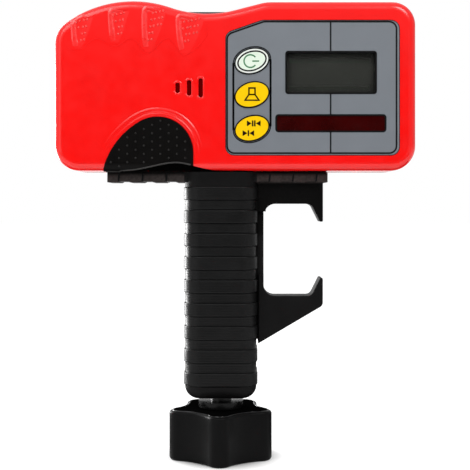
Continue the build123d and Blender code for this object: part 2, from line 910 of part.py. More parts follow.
def jaw_slot():
    """The upright slot in the handle's right side that the moving jaw's tongue runs in."""
    half = tongue_width / 2 + slide_gap
    low = tongue_bottom - jaw_travel_down - slide_gap
    high = tongue_top + jaw_travel_up + slide_gap
    return span((0, handle_width), (-half, half), (low, high))


def spine_track(low, high):
    """The flat cut in the handle's right side that the moving jaw's spine slides past."""
    return span((spine_left - slide_gap, handle_width), (-track_half, track_half), (low, high))


def handle_core():
    """The stiff inner tube of the handle, with a square channel for the drive nut."""
    core = prism_z(handle_section(-grip_thick), cap_top, handle_top)
    half = channel_side / 2
    core -= span((-half, half), (-half, half), (cap_top, handle_top))
    core -= jaw_slot()
    for x, y in head_screw_places():
        low = platform_top - head_screw_sink - head_screw_length - slide_gap
        core -= rod_z(head_screw_r + seat_gap / 2, low, handle_top, x, y)
    for x in cap_pin_places():
        core -= rod_y(pin_r + seat_gap / 2, -core_depth, core_depth, x, cap_top + cap_boss / 2)
    return core


def grip_sleeve():
    """The ribbed rubber sleeve round the handle."""
    grip = prism_z(handle_section(0), cap_top, handle_top)
    count = int((handle_top - cap_top - rib_height) / rib_pitch) + 1
    for place in range(count):
        high = handle_top - place * rib_pitch
        grip += prism_z(handle_section(rib_proud), high - rib_height, high)
    grip -= prism_z(handle_section(seat_gap - grip_thick), cap_top, handle_top)
    grip -= jaw_slot()
    return grip - spine_track(cap_top, handle_top)


def cap_pin_places():
    """The X of the two pins that lock the end cap, each side of the screw."""
    middle = (screw_r + channel_side / 2) / 2
    return (-middle, middle)


def end_cap():
    """The rounded lower end of the handle, with the screw's bearing and a boss in the core."""
    cap = prism_z(handle_section(0), handle_bottom, cap_top)
    cap = fillet(cap.faces().sort_by(Axis.Z)[0].edges(), cap_round)
    half = channel_side / 2 - seat_gap
    cap += span((-half, half), (-half, half), (cap_top, cap_top + cap_boss))
    cap -= rod_z(screw_r + running_gap, handle_bottom, cap_top + cap_boss)
    for x in cap_pin_places():
        cap -= rod_y(pin_r + seat_gap / 2, -half, half, x, cap_top + cap_boss / 2)
    return cap


def cap_pins():
    """Two cross pins through the core and the end cap's boss."""
    pins = []
    for x in cap_pin_places():
        half = core_depth / 2 - seat_gap
        pins.append(rod_y(pin_r, -half, half, x, cap_top + cap_boss / 2))
    return Compound(children=pins)


def thrust_washer():
    """The washer between the end cap and the screw's clip."""
    low = cap_top + cap_boss
    high = low + washer_thick
    return rod_z(washer_r, low, high) - rod_z(screw_r + slide_gap, low, high)


def top_bush():
    """The square block that steadies the screw's upper end in the channel."""
    high = handle_top - bush_below_top
    low = high - bush_height
    half = channel_side / 2 - seat_gap
    return span((-half, half), (-half, half), (low, high)) - rod_z(screw_r + running_gap, low, high)


def clip_level():
    """The lower face of the clip on the lead screw."""
    return cap_top + cap_boss + washer_thick + slide_gap


def screw_head():
    """The hexagon head that locks the lead screw in the knob."""
    hexagon = RegularPolygon(screw_head_flats / 2, 6, major_radius=False)
    return prism_z(hexagon, screw_head_z, screw_head_z + screw_head_height)


def lead_screw():
    """The clamp's screw, with a hexagon head moulded into the knob and a groove for its clip."""
    high = handle_top - bush_below_top
    screw = rod_z(screw_r, screw_head_z, high) + screw_head()
    low = clip_level()
    groove = rod_z(screw_r, low, low + clip_thick) - rod_z(screw_r - clip_thick, low, low + clip_thick)
    return screw - groove


def screw_clip():
    """The clip that keeps the lead screw from dropping out of the end cap."""
    return clip_ring(screw_r - clip_thick, clip_level(), clip_level() + clip_thick)


def star_outline():
    """Round lobes joined by hollow arcs."""
    lobe_at = knob_tip_r - knob_lobe_r
    half_step = math.pi / knob_lobes
    middle = lobe_at * math.cos(half_step)
    floor = knob_valley_r
    bend = floor ** 2 + lobe_at ** 2 - 2 * floor * middle - knob_lobe_r ** 2
    valley = bend / (2 * (knob_lobe_r + middle - floor))
    edges = []
    for lobe in range(knob_lobes):
        angle = math.radians(knob_turn) + 2 * lobe * half_step
        centre = polar(lobe_at, angle)
        before = toward(centre, polar(floor + valley, angle - half_step), knob_lobe_r)
        after = toward(centre, polar(floor + valley, angle + half_step), knob_lobe_r)
        following = polar(lobe_at, angle + 2 * half_step)
        next_start = toward(following, polar(floor + valley, angle + half_step), knob_lobe_r)
        edges.append(ThreePointArc(before, polar(knob_tip_r, angle), after))
        edges.append(ThreePointArc(after, polar(floor, angle + half_step), next_start))
    return make_face(edges)


def polar(radius, angle):
    """A point at a radius and an angle in radians."""
    return (radius * math.cos(angle), radius * math.sin(angle))


def star_knob():
    """The five-lobed hand knob, moulded over the screw's head."""
    knob = prism_z(star_outline(), 0, knob_height)
    knob = fillet(knob.faces().sort_by(Axis.Z)[-1].edges(), knob_top_round)
    knob = fillet(knob.faces().sort_by(Axis.Z)[0].edges(), knob_foot_round)
    return knob - screw_head() - rod_z(screw_r, screw_head_z, knob_height)


def knob_collar():
    """The turned collar on top of the knob."""
    collar = rod_z(collar_neck_r, knob_height, collar_bottom)
    collar += rod_z(collar_r, collar_bottom, collar_bottom + collar_height)
    return collar - rod_z(screw_r, knob_height, collar_bottom + collar_height)


def jaw_screw_levels():
    """The Z of the two screws that hold the moving jaw to the nut."""
    high = tongue_top - jaw_screw_below
    return (high - jaw_screw_pitch, high)


def lower_jaw():
    """The moving jaw: hooked arm, gusset, spine and the tongue that reaches the nut."""
    points = jaw_tooth(spine_right, lower_floor, 1)
    heel = (jaw_reach, lower_floor - jaw_heel)
    toe = (jaw_left, lower_floor - gusset_drop)
    corner = (spine_right, lower_floor)
    rise = lower_floor + 2 * jaw_corner_round
    outline = [toe, heel] + points + [(spine_right, rise), (jaw_left, rise)]
    face = make_face(Polyline(*outline, close=True))
    face = fillet(nearest_vertices(face, [heel]), jaw_heel_round)
    face = fillet(nearest_vertices(face, points[2:3]), tooth_root_round)
    face = fillet(nearest_vertices(face, points[0:2]), tooth_tip_round)
    face = fillet(nearest_vertices(face, [corner]), jaw_corner_round)
    jaw = prism_y(face, -jaw_depth / 2, jaw_depth / 2)
    sides = jaw.faces().sort_by(Axis.Y)
    jaw = chamfer(sides[0].edges() + sides[-1].edges(), jaw_edge_round)
    half = spine_width / 2
    slope = (heel[1] - toe[1]) / (heel[0] - toe[0])
    spine_foot = toe[1] + slope * (spine_right - jaw_left) + spine_edge
    jaw += span((spine_left, spine_right), (-half, half), (spine_foot, spine_top))
    half = tongue_width / 2
    jaw += span((nut_side / 2, spine_left), (-half, half), (tongue_bottom, tongue_top))
    for z in jaw_screw_levels():
        jaw -= rod_x(jaw_screw_r + seat_gap / 2, nut_side / 2, spine_right, 0, z)
        jaw -= rod_x(jaw_screw_head_r + seat_gap, spine_right - jaw_screw_sink, spine_right, 0, z)
    return jaw


def drive_nut():
    """The square brass nut that climbs the lead screw."""
    half = nut_side / 2
    high = nut_bottom + nut_height
    nut = span((-half, half), (-half, half), (nut_bottom, high))
    nut -= rod_z(screw_r + running_gap, nut_bottom, high)
    for z in jaw_screw_levels():
        nut -= rod_x(jaw_screw_r + seat_gap / 2, screw_r, half, 0, z)
    return nut


def jaw_screws():
    """Two screws through the spine and tongue into the nut."""
    screws = []
    seat = spine_right - jaw_screw_sink
    for z in jaw_screw_levels():
        shank = rod_x(jaw_screw_r, screw_r + 2 * slide_gap, seat, 0, z)
        screws.append(shank + rod_x(jaw_screw_head_r, seat, spine_right - seat_gap, 0, z))
    return Compound(children=screws)


pieces = {
    "clamp_head": clamp_head,
    "handle_core": handle_core,
    "grip_sleeve": grip_sleeve,
    "end_cap": end_cap,
    "cap_pins": cap_pins,
    "thrust_washer": thrust_washer,
    "top_bush": top_bush,
    "head_screws": head_screws,
    "friction_washer": friction_washer,
    "star_knob": star_knob,
    "knob_collar": knob_collar,
    "lead_screw": lead_screw,
    "screw_clip": screw_clip,
    "lower_jaw": lower_jaw,
    "drive_nut": drive_nut,
    "jaw_screws": jaw_screws,
    "front_shell": front_shell,
    "rear_cover": rear_cover,
    "case_seal": case_seal,
    "face_panel": face_panel,
    "lcd_window": lcd_window,
    "lcd_module": lcd_module,
    "sensor_window": sensor_window,
    "sensor_board": sensor_board,
    "main_board": main_board,
    "board_screws": board_screws,
    "key_switches": key_switches,
    "buzzer": buzzer,
    "thumb_pad": thumb_pad,
    "case_screws": case_screws,
    "battery_cells": battery_cells,
    "battery_contacts": battery_contacts,
    "battery_door": battery_door,
    "door_pin": door_pin,
    "swivel_stud": swivel_stud,
    "stud_clip": stud_clip,
    "power_key": lambda: key(2),
    "sound_key": lambda: key(1),
    "mode_key": lambda: key(0),
}

os.makedirs("parts", exist_ok=True)
for name, make in pieces.items():
    export_step(make(), f"parts/{name}.step")
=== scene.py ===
import json
import math

import bmesh
import bpy
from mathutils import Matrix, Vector, geometry
from mathutils.bvhtree import BVHTree


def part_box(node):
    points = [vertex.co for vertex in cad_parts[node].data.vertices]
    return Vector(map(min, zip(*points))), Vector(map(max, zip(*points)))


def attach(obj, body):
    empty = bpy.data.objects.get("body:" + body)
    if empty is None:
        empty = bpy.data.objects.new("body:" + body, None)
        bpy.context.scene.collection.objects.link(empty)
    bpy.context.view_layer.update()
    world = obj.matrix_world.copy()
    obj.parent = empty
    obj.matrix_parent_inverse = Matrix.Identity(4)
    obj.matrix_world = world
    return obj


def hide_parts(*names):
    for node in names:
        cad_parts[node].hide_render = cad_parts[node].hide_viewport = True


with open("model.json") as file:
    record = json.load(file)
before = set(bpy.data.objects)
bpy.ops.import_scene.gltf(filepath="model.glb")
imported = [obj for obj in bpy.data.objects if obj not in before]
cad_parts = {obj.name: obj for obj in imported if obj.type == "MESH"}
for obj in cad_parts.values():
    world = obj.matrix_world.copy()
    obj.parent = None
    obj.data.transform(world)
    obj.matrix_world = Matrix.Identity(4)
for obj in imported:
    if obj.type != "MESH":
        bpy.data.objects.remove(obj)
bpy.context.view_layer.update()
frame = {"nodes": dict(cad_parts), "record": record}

# Laser detector on a staff clamp. Sizes are millimetres, apart from the stage and lamps.
MM = 0.001
upright = Vector((0, 0, 1))


def corners(node):
    """A solid's lowest and highest corner in millimetres."""
    low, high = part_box(node)
    return low / MM, high / MM


shell_low, shell_high = corners("front_shell")
panel_low, panel_high = corners("face_panel")
sleeve_low, sleeve_high = corners("grip_sleeve")
glass_low, glass_high = corners("lcd_window")
filter_low, filter_high = corners("sensor_window")
pad_low, pad_high = corners("thumb_pad")
door_low, door_high = corners("battery_door")
head_low, head_high = corners("clamp_head")

# The face and the thickness of printing on it
face_y = panel_low.y
lift = 0.05

# Panel printing
panel_corner = 4.1
panel_cut = (16.9, 5.9)
border_left, border_bottom, border_right, border_top = 0.75, 1.05, 1.5, 0.75
line_width = 0.78
centre_line = line_width * 0.9
rim_width = 0.26
centre_line_x = 50.7
contour_gap = 0.78
contour_line = 0.5
contour_side = line_width * 1.2
key_ring = 0.17
key_line = 0.42
key_edge = 0.26
key_round = 0.55

# Keys: their slots, half sizes and tilt
key_slots = {"power": "key_white", "sound": "key_yellow", "mode": "key_yellow"}
key_long = 7.95
key_short = 5.64
key_tilt = math.radians(17.0)

# Display and sensor window
lcd_margin = 2.0
lcd_corner = 1.2
bezel_wall = 0.6
filter_flange = 1.2
filter_corner = 1.2

# Finger dimples, each as distance from the case's left, drop from its top, width, height, lean
dimples = [(12.15, 15.5, 10.0, 16.2, 8), (29.2, 12.8, 9.4, 16.7, 7),
           (45.05, 14.1, 11.1, 20.7, 9), (61.75, 16.4, 13.2, 17.9, 9)]
dimple_depth = 0.5
lip_inset = 0.8
lip_width = 2.7
lip_height = 0.42
least_facing = 0.85
scallop_peak = 17.9

# Small paired studs in the dimples
stud_pitch = (3.5, 3.15)
stud_drop = 2.0
stud_inset = 2.0
stud_pair = 0.75
stud_r = 0.6
stud_height = 0.5
stud_tilt = math.radians(12)

# Speaker slots, and the rim round each as gap, width and height
slot_x = -14.4
slot_z = 173.5
slot_pitch = 5.3
slot_width = 2.0
slot_lengths = (4.8, 7.2, 8.9)
slot_deep = 0.9
slot_rim = (0.5, 0.9, 0.14)

# Thumb pad, the ridges round it as gap, width and height, and the arch below it
pad_right_x = -28.95
pad_left_r = 36.0
pad_right_r = 16.4
pad_lean = 30.0
pad_pitch = 3.8
outer_ridge = (3.3, 2.0, 0.29)
inner_ridge = (1.3, 1.3, 0.18)
arch_left = -46.0
arch_right = 1.0
arch_deep = 6.0

# Handle section, its ribs and the flat track and slot on its right side
handle_width = 33.5
handle_depth = 29.4
handle_corner = 8.0
rib_pitch = 10.8
rib_height = 6.0
rib_proud = 0.55
rib_round = 0.45
groove_pitch = 0.75
groove_deep = 0.05
notch_high = 0.36
notch_deep = 0.35
sleeve_inner = -2.7
track_x = 16.35
track_half = 5.3
slot_half = 4.3
slot_low = 58.96
slot_high = 106.56

# Platform: its grooves, and the dark seal between it and the case
platform_half = 11.0
groove_places = (-47.4, -36.3, -25.2, 22.9, 33.8, 44.7)
groove_width = 0.75
seal_outer = 10.7
seal_inner = 9.95
seal_gap = 0.06

# Screw heads: cross recess as half length, half width and depth, places from the case's lower left
recess = (1.7, 0.4, 0.9)
jaw_screw_head_r = 2.8
case_screw_places = ((7.4, 7.4), (159.7, 7.4), (159.7, 71.2), (8.4, 60.6))

# Mouldings, each as colour, roughness, size and depth of grain, spread of tone, mirror strength, edge wear
# and painted sheen
mouldings = {
    "red_plastic": ((0.90, 0.0042, 0.0035), 0.19, 0.3, 0.003, 0.03, 0.5),
    # The next is red darkened with painted shade, for the speaker slots' floors.
    "red_painted_shade": ((0.11, 0.0001, 0.0001), 0.5, 0.22, 0.01, 0.1, 0.0),
    # The next is red darkened with painted shade, for the line under the finger dimples.
    "red_painted_step_shade": ((0.84, 0.0038, 0.0032), 0.5, 0.22, 0.01, 0.05, 0.12),
    # The next is paler red, a painted highlight on the dimples' studs.
    "red_painted_highlight": ((0.90, 0.042, 0.037), 0.25, 0.3, 0.003, 0.05, 0.5),
    "red_polished": ((0.90, 0.008, 0.007), 0.28, 0.3, 0.003, 0.03, 0.9),
    "case_black": ((0.0070, 0.0070, 0.0072), 0.45, 0.35, 0.04, 0.15, 0.25, 0.3),
    "knob_plastic": ((0.0046, 0.0046, 0.0047), 0.38, 0.5, 0.02, 0.2, 0.045, 0.4),
    "collar_gloss": ((0.0040, 0.0040, 0.0041), 0.18, 0.5, 0.01, 0.2, 0.12),
    "rim_gloss": ((0.0048, 0.0048, 0.0049), 0.14, 0.5, 0.01, 0.2, 0.5),
    # The next is a flat black without mirror, painted shade for the knob's hollow and the void under the
    # arch.
    "painted_shade_black": ((0.002, 0.002, 0.002), 0.8, 0.5, 0.01, 0.2, 0.0),
    "grip_rubber": ((0.0060, 0.0060, 0.0061), 0.38, 0.4, 0.05, 0.2, 0.12),
    "pad_rubber": ((0.0022, 0.0018, 0.0016), 0.45, 0.3, 0.04, 0.2, 0.07),
    # The next is a lighter grey rubber; on the pad's bead it partly paints the highlight the bead catches.
    "lip_rubber": ((0.026, 0.025, 0.024), 0.42, 0.3, 0.03, 0.15, 0.2),
    # The next is a lighter rubber, a painted highlight on the pad's dots.
    "rubber_painted_highlight": ((0.0085, 0.0075, 0.0068), 0.36, 0.3, 0.02, 0.25, 0.25),
    "panel_grey": ((0.174, 0.190, 0.211), 0.34, 0.16, 0.006, 0.03, 0.3),
    "red_filter": ((0.033, 0.0004, 0.0004), 0.12, 2.5, 0.003, 0.3, 0.35),
    "key_white": ((0.80, 0.84, 0.79), 0.36, 0.3, 0.006, 0.02, 0.3),
    "key_pale": ((0.74, 0.84, 0.72), 0.40, 0.3, 0.006, 0.02),
    "key_yellow": ((0.91, 0.57, 0.001), 0.30, 0.3, 0.004, 0.03, 0.12),
    "ink_black": ((0.004, 0.004, 0.0045), 0.5, 0.2, 0.004, 0.2, 0.1),
    "ink_brown": ((0.011, 0.002, 0.0006), 0.5, 0.2, 0.004, 0.2, 0.1),
    "ink_green": ((0.07, 0.24, 0.11), 0.5, 0.2, 0.004, 0.1, 0.1),
    "board_green": ((0.02, 0.12, 0.05), 0.35, 1.2, 0.03, 0.3),
    "cell_jacket": ((0.04, 0.05, 0.07), 0.30, 0.8, 0.01, 0.2),
    "black_steel": ((0.009, 0.009, 0.009), 0.34, 0.3, 0.02, 0.2),
}
# Where a noise texture's darker and lighter patches lie
noise_range = (0.3, 0.7)


def node_material(name):
    """A material with an empty principled shader, and its node tree."""
    material = bpy.data.materials.new(name)
    material.use_nodes = True
    tree = material.node_tree
    return material, tree, tree.nodes["Principled BSDF"]


def plug(tree, socket, value):
    """Sets an input to a value, or joins it to another node's output."""
    if isinstance(value, bpy.types.NodeSocket):
        tree.links.new(value, socket)
    else:
        socket.default_value = value


def joined(tree, node, **inputs):
    """A node with some of its inputs set or joined."""
    for name, value in inputs.items():
        plug(tree, node.inputs[name.replace("_", " ")], value)
    return node


def add(tree, kind, **inputs):
    """A new shader node with some of its inputs set or joined."""
    return joined(tree, tree.nodes.new("ShaderNode" + kind), **inputs)


def maths(tree, operation, first, second=0.0):
    """A maths node on two values, each a socket or a number."""
    node = add(tree, "Math")
    node.operation = operation
    plug(tree, node.inputs[0], first)
    plug(tree, node.inputs[1], second)
    return node.outputs[0]


def mapped(tree, value, start, end, low, high):
    """A value moved from one range to another."""
    node = add(tree, "MapRange", Value=value, From_Min=start, From_Max=end, To_Min=low, To_Max=high)
    return node.outputs["Result"]


def rising(tree, value, start, end):
    """Nought at one place in millimetres, rising to one at another."""
    return mapped(tree, value, start * MM, end * MM, 0.0, 1.0)


def spot(tree, space="Object"):
    """A point's place in a space, by default the object's own."""
    return add(tree, "TexCoord").outputs[space]


def place_along(tree, axis, space="Object"):
    """A point's place along one axis of a space."""
    return add(tree, "SeparateXYZ", Vector=spot(tree, space)).outputs[axis]


def noise(tree, size, detail=2.0, stretch=(1, 1, 1)):
    """A noise texture in the object's own space, with the size of its grains."""
    mapping = add(tree, "Mapping", Vector=spot(tree), Scale=stretch)
    where = mapping.outputs["Vector"]
    return add(tree, "TexNoise", Vector=where, Scale=1 / (size * MM), Detail=detail).outputs["Fac"]


def uneven(tree, texture, low, high):
    """A noise texture's usual range, moved between two values."""
    return mapped(tree, texture, *noise_range, low, high)


def tinted(tree, texture, colour, spread):
    """A colour that a texture makes a little darker or lighter."""
    ramp = add(tree, "ValToRGB", Fac=texture)
    for stop, where, tone in zip(ramp.color_ramp.elements, noise_range, (1 - spread, 1 + spread)):
        stop.position = where
        stop.color = [min(1, c * tone) for c in colour] + [1]
    return ramp.outputs["Color"]


def mixed(tree, share, first, second):
    """One colour blended into another."""
    node = add(tree, "Mix")
    node.data_type = "RGBA"
    sockets = {s.identifier: s for s in node.inputs}
    for name, value in (("Factor_Float", share), ("A_Color", first), ("B_Color", second)):
        tree.links.new(value, sockets[name])
    return next(s for s in node.outputs if s.identifier == "Result_Color")


def worn_and_sheen_edges(tree, radius, most):
    """A share that grows along sharp edges, where handling polishes a moulding and a painted sheen lightens
    it.
    """
    hardly_bent, well_bent = 0.99, 0.75
    bevel = add(tree, "Bevel", Radius=radius * MM)
    bevel.samples = 4
    flat = add(tree, "NewGeometry")
    dot = add(tree, "VectorMath")
    dot.operation = "DOT_PRODUCT"
    for socket, normal in zip(dot.inputs, (bevel, flat)):
        tree.links.new(normal.outputs["Normal"], socket)
    return mapped(tree, dot.outputs["Value"], hardly_bent, well_bent, 0.0, most)


def bumped(tree, height, strength, depth):
    """A bump from a texture, as deep as the real grain."""
    bump = add(tree, "Bump", Height=height, Strength=strength, Distance=depth * MM)
    return bump.outputs["Normal"]


def moulded(name, colour, roughness, grain, deep, spread, specular=0.5, wear_and_sheen=0.0):
    """Moulded plastic or rubber: a fine grain, uneven gloss and colour, and edges lightened for wear and
    painted sheen.
    """
    material, tree, shader = node_material(name)
    cloud_size, patch_size, sway, strength, edge = 18.0, 6.0, 0.05, 0.6, 0.5
    cloud = noise(tree, cloud_size, detail=3.0)
    tone = tinted(tree, cloud, colour, spread)
    if wear_and_sheen:
        # The edge tone is lighter both for real wear and as a painted sheen.
        gain, haze = 1.6, 0.012
        lighter = [min(1.0, c * gain + haze) for c in colour]
        tone = mixed(tree, worn_and_sheen_edges(tree, edge, wear_and_sheen), tone, tinted(tree, cloud, lighter, spread))
    joined(tree, shader, Base_Color=tone, Specular_IOR_Level=specular,
           Roughness=uneven(tree, noise(tree, patch_size, detail=4.0), roughness - sway, roughness + sway),
           Normal=bumped(tree, noise(tree, grain, detail=3.0), strength, deep))
    return material


def clamp_moulding():
    """The clamp's fine textured black, dusty on the platform's edge and darkened with painted shade on the
    upper jaw and along the platform's top.
    """
    material = moulded("clamp_plastic", (0.0051, 0.0049, 0.0050), 0.50, 0.5, 0.05, 0.25, 0.07, 0.3)
    # smooth is not a finish: it is a darker colour, painted shade for the upper jaw under the platform.
    dusty, smooth, speck, soft = (0.034, 0.0276, 0.0262), (0.0012, 0.0010, 0.0009), 1.2, 0.4
    jaw_shade_foot, dust_foot, painted_shadow_top = (104, 107), (129.5, 130.5), (134.5, 133.0)
    tree = material.node_tree
    shader = tree.nodes["Principled BSDF"]
    tone = shader.inputs["Base Color"].links[0].from_socket
    level = place_along(tree, "Z")
    aside = maths(tree, "ABSOLUTE", place_along(tree, "X"))
    beside = rising(tree, aside, handle_width / 2, handle_width / 2 + soft)
    # Painted shade: the upper jaw beside the handle takes the darker colour smooth.
    upper = maths(tree, "MULTIPLY", rising(tree, level, *jaw_shade_foot), beside)
    specks = noise(tree, speck, detail=4.0)
    tone = mixed(tree, upper, tone, tinted(tree, specks, smooth, spread=0.2))
    # Dust fades out towards the platform's top, where painted shadow of the case darkens it.
    edge = maths(tree, "MULTIPLY", rising(tree, level, *dust_foot), rising(tree, level, *painted_shadow_top))
    dust = tinted(tree, specks, dusty, spread=0.25)
    joined(tree, shader, Base_Color=mixed(tree, maths(tree, "MULTIPLY", edge, beside), tone, dust))
    return material


def metal(name, colour, roughness, stretch):
    """Plated or turned metal with fine drawn lines."""
    material, tree, shader = node_material(name)
    size, spread, smoother, rougher, strength, deep = 1.1, 0.12, 0.08, 0.1, 0.25, 0.02
    lines = noise(tree, size, detail=4.0, stretch=stretch)
    joined(tree, shader, Metallic=1.0, Base_Color=tinted(tree, lines, colour, spread),
           Roughness=uneven(tree, lines, roughness - smoother, roughness + rougher),
           Normal=bumped(tree, lines, strength, deep))
    return material


def glass():
    """The display's clear plate, faintly smudged."""
    material, tree, shader = node_material("clear_glass")
    smudge = (0.05, 0.055, 0.05)
    joined(tree, shader, Alpha=0.16, Base_Color=tinted(tree, noise(tree, size=8.0), smudge, spread=0.2),
           Roughness=uneven(tree, noise(tree, size=3.0), low=0.04, high=0.12))
    return material


def inside_display(tree, axis, fade):
    """One in the middle of the display along an axis, falling to nought at its ends."""
    index = "XYZ".index(axis)
    low, high = glass_low[index], glass_high[index]
    off = maths(tree, "SUBTRACT", place_along(tree, axis), (low + high) / 2 * MM)
    half = (high - low) / 2
    return rising(tree, maths(tree, "ABSOLUTE", off), half, half - fade)


def display():
    """The dark olive display cell, with painted shade darkening it towards its edges."""
    material, tree, shader = node_material("lcd_grey")
    olive, dark, fade = (0.060, 0.062, 0.053), (0.006, 0.006, 0.0055), 4.5
    # Painted shade: the recess's inner shadow, darker towards the cell's edges.
    shade = maths(tree, "MULTIPLY", inside_display(tree, "X", fade), inside_display(tree, "Z", fade))
    cloud = noise(tree, size=14.0)
    tone = mixed(tree, shade, tinted(tree, cloud, dark, spread=0.1), tinted(tree, cloud, olive, spread=0.08))
    joined(tree, shader, Base_Color=tone, Specular_IOR_Level=0.3,
           Roughness=uneven(tree, noise(tree, size=2.5), low=0.3, high=0.4))
    return material


materials = {name: moulded(name, *look) for name, look in mouldings.items()}
materials.update(clamp_plastic=clamp_moulding(), clear_glass=glass(), lcd_grey=display(),
                 steel=metal("steel", (0.55, 0.56, 0.58), roughness=0.32, stretch=(1, 8, 1)),
                 brass=metal("brass", (0.70, 0.50, 0.20), roughness=0.30, stretch=(1, 1, 8)))

for subpart in frame["record"]["subparts"]:
    solid = frame["nodes"][subpart["node"]]
    solid.data.materials.clear()
    solid.data.materials.append(materials[subpart["material_slot"]])
frame["nodes"]["knob_collar"].data.materials[0] = materials["collar_gloss"]


def placed(name, data):
    """A new object in the scene."""
    obj = bpy.data.objects.new(name, data)
    bpy.context.scene.collection.objects.link(obj)
    return obj


def piece(name, points, faces, body, slot, look=None, smooth_angle=35.0):
    """A new mesh from points in millimetres, riding on a body."""
    mesh = bpy.data.meshes.new(name)
    mesh.from_pydata([Vector(p) * MM for p in points], [], faces)
    return finished(name, mesh, body, slot, look, smooth_angle)


def finished(name, mesh, body, slot, look=None, smooth_angle=35.0):
    """Puts a mesh in the scene with outward normals and smooth shading, in its slot's looks or others."""
    shape = bmesh.new()
    shape.from_mesh(mesh)
    bmesh.ops.recalc_face_normals(shape, faces=shape.faces)
    shape.to_mesh(mesh)
    shape.free()
    mesh.polygons.foreach_set("use_smooth", [True] * len(mesh.polygons))
    mesh.set_sharp_from_angle(angle=math.radians(smooth_angle))
    mesh.materials.append(materials[look or slot])
    obj = placed(name, mesh)
    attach(obj, body)
    return obj


def edged_copy(node, width, body):
    """A copy of one of the clamp's solids in its place, with its sharp edges rounded below its top."""
    weld, rim, flat, turn = 0.002 * MM, 0.05 * MM, math.radians(1), math.radians(30)
    mesh = bpy.data.meshes.new(node + "_edged")
    shape = bmesh.new()
    shape.from_mesh(frame["nodes"][node].data)
    bmesh.ops.remove_doubles(shape, verts=shape.verts, dist=weld)
    bmesh.ops.dissolve_limit(shape, angle_limit=flat, verts=shape.verts, edges=shape.edges)
    top = max(v.co.z for v in shape.verts) - rim
    below = [e for e in shape.edges if min(v.co.z for v in e.verts) < top]
    sharp = [e for e in below if len(e.link_faces) == 2 and e.calc_face_angle() > turn]
    bmesh.ops.bevel(shape, geom=sharp, offset=width * MM, segments=2, profile=0.5, affect="EDGES",
                    clamp_overlap=True)
    shape.to_mesh(mesh)
    shape.free()
    obj = finished(node + "_edged", mesh, body, "clamp_plastic")
    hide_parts(node)


def arc_points(x, z, radius, start, end, steps):
    """Points on an arc, with its angles in degrees."""
    angles = [math.radians(start + (end - start) * n / steps) for n in range(steps + 1)]
    return [(x + radius * math.cos(a), z + radius * math.sin(a)) for a in angles]


def rounded(points, radius, steps=8):
    """A polygon's outline with each corner turned into an arc."""
    outline = []
    for before, here, after in zip(points[-1:] + points[:-1], points, points[1:] + points[:1]):
        corner = Vector(here)
        to_last, to_next = [(Vector(p) - corner).normalized() for p in (before, after)]
        half = to_last.angle(to_next) / 2
        centre = corner + (to_last + to_next).normalized() * (radius / math.sin(half))
        first, last = [corner + way * (radius / math.tan(half)) - centre for way in (to_last, to_next)]
        turn = first.angle(last)
        for step in range(steps + 1):
            share = step / steps
            arm = first * math.sin(turn * (1 - share)) + last * math.sin(turn * share)
            outline.append(tuple(centre + arm / math.sin(turn)))
    return outline


def rectangle(low_x, low_z, high_x, high_z, radius):
    """A rounded rectangle's outline."""
    return rounded([(low_x, low_z), (high_x, low_z), (high_x, high_z), (low_x, high_z)], radius)


def smooth_path(points, steps=8):
    """A soft curve through some points."""
    path = []
    count = len(points)
    for place in range(count - 1):
        a, b, c, d = [Vector(points[min(max(place + n, 0), count - 1)]) for n in (-1, 0, 1, 2)]
        for step in range(steps):
            t = step / steps
            bend = (c - a) * t + (2 * a - 5 * b + 4 * c - d) * t ** 2 + (3 * b - a - 3 * c + d) * t ** 3
            path.append(tuple(b + bend / 2))
    return path + [tuple(points[-1])]


def sides(points, width, closed):
    """The two edges of a line of some width that follows some points."""
    left, right = [], []
    sharpest = 0.5
    ways = [(Vector(b) - Vector(a)).normalized() for a, b in zip(points, points[1:] + points[:1])]
    if not closed:
        ways[-1] = ways[-2]
    for place, point in enumerate(points):
        first = ways[place - 1 if closed or place else 0]
        along = (first + ways[place]).normalized()
        across = Vector((-along.y, along.x)) * (width / 2 / max(sharpest, along.dot(first)))
        left.append(Vector(point) + across)
        right.append(Vector(point) - across)
    return left, right


def bands(start, rows, count, closed=True):
    """Faces between neighbouring rings of points, and between the last and the first if closed."""
    faces = []
    for row in range(rows if closed else rows - 1):
        low, high = start + row * count, start + (row + 1) % rows * count
        for n in range(count):
            after = (n + 1) % count
            faces.append([low + n, low + after, high + after, high + n])
    return faces


def swept(start, rows, count):
    """Faces of a section swept through some rows of points, with both ends closed."""
    ends = [[start + row * count + n for n in range(count)] for row in (0, rows - 1)]
    return bands(start, rows, count, closed=False) + [ends[0], ends[1][::-1]]


def ringed(name, rings, body, slot, look=None):
    """A piece through rings of points, with the last ring joined to the first."""
    points = [p for ring in rings for p in ring]
    return piece(name, points, bands(0, len(rings), len(rings[0])), body, slot, look)


def around(middle, first, second, steps):
    """Points round a middle, on the ellipse that two arms give."""
    angles = [2 * math.pi * n / steps for n in range(steps)]
    return [middle + first * math.cos(a) + second * math.sin(a) for a in angles]


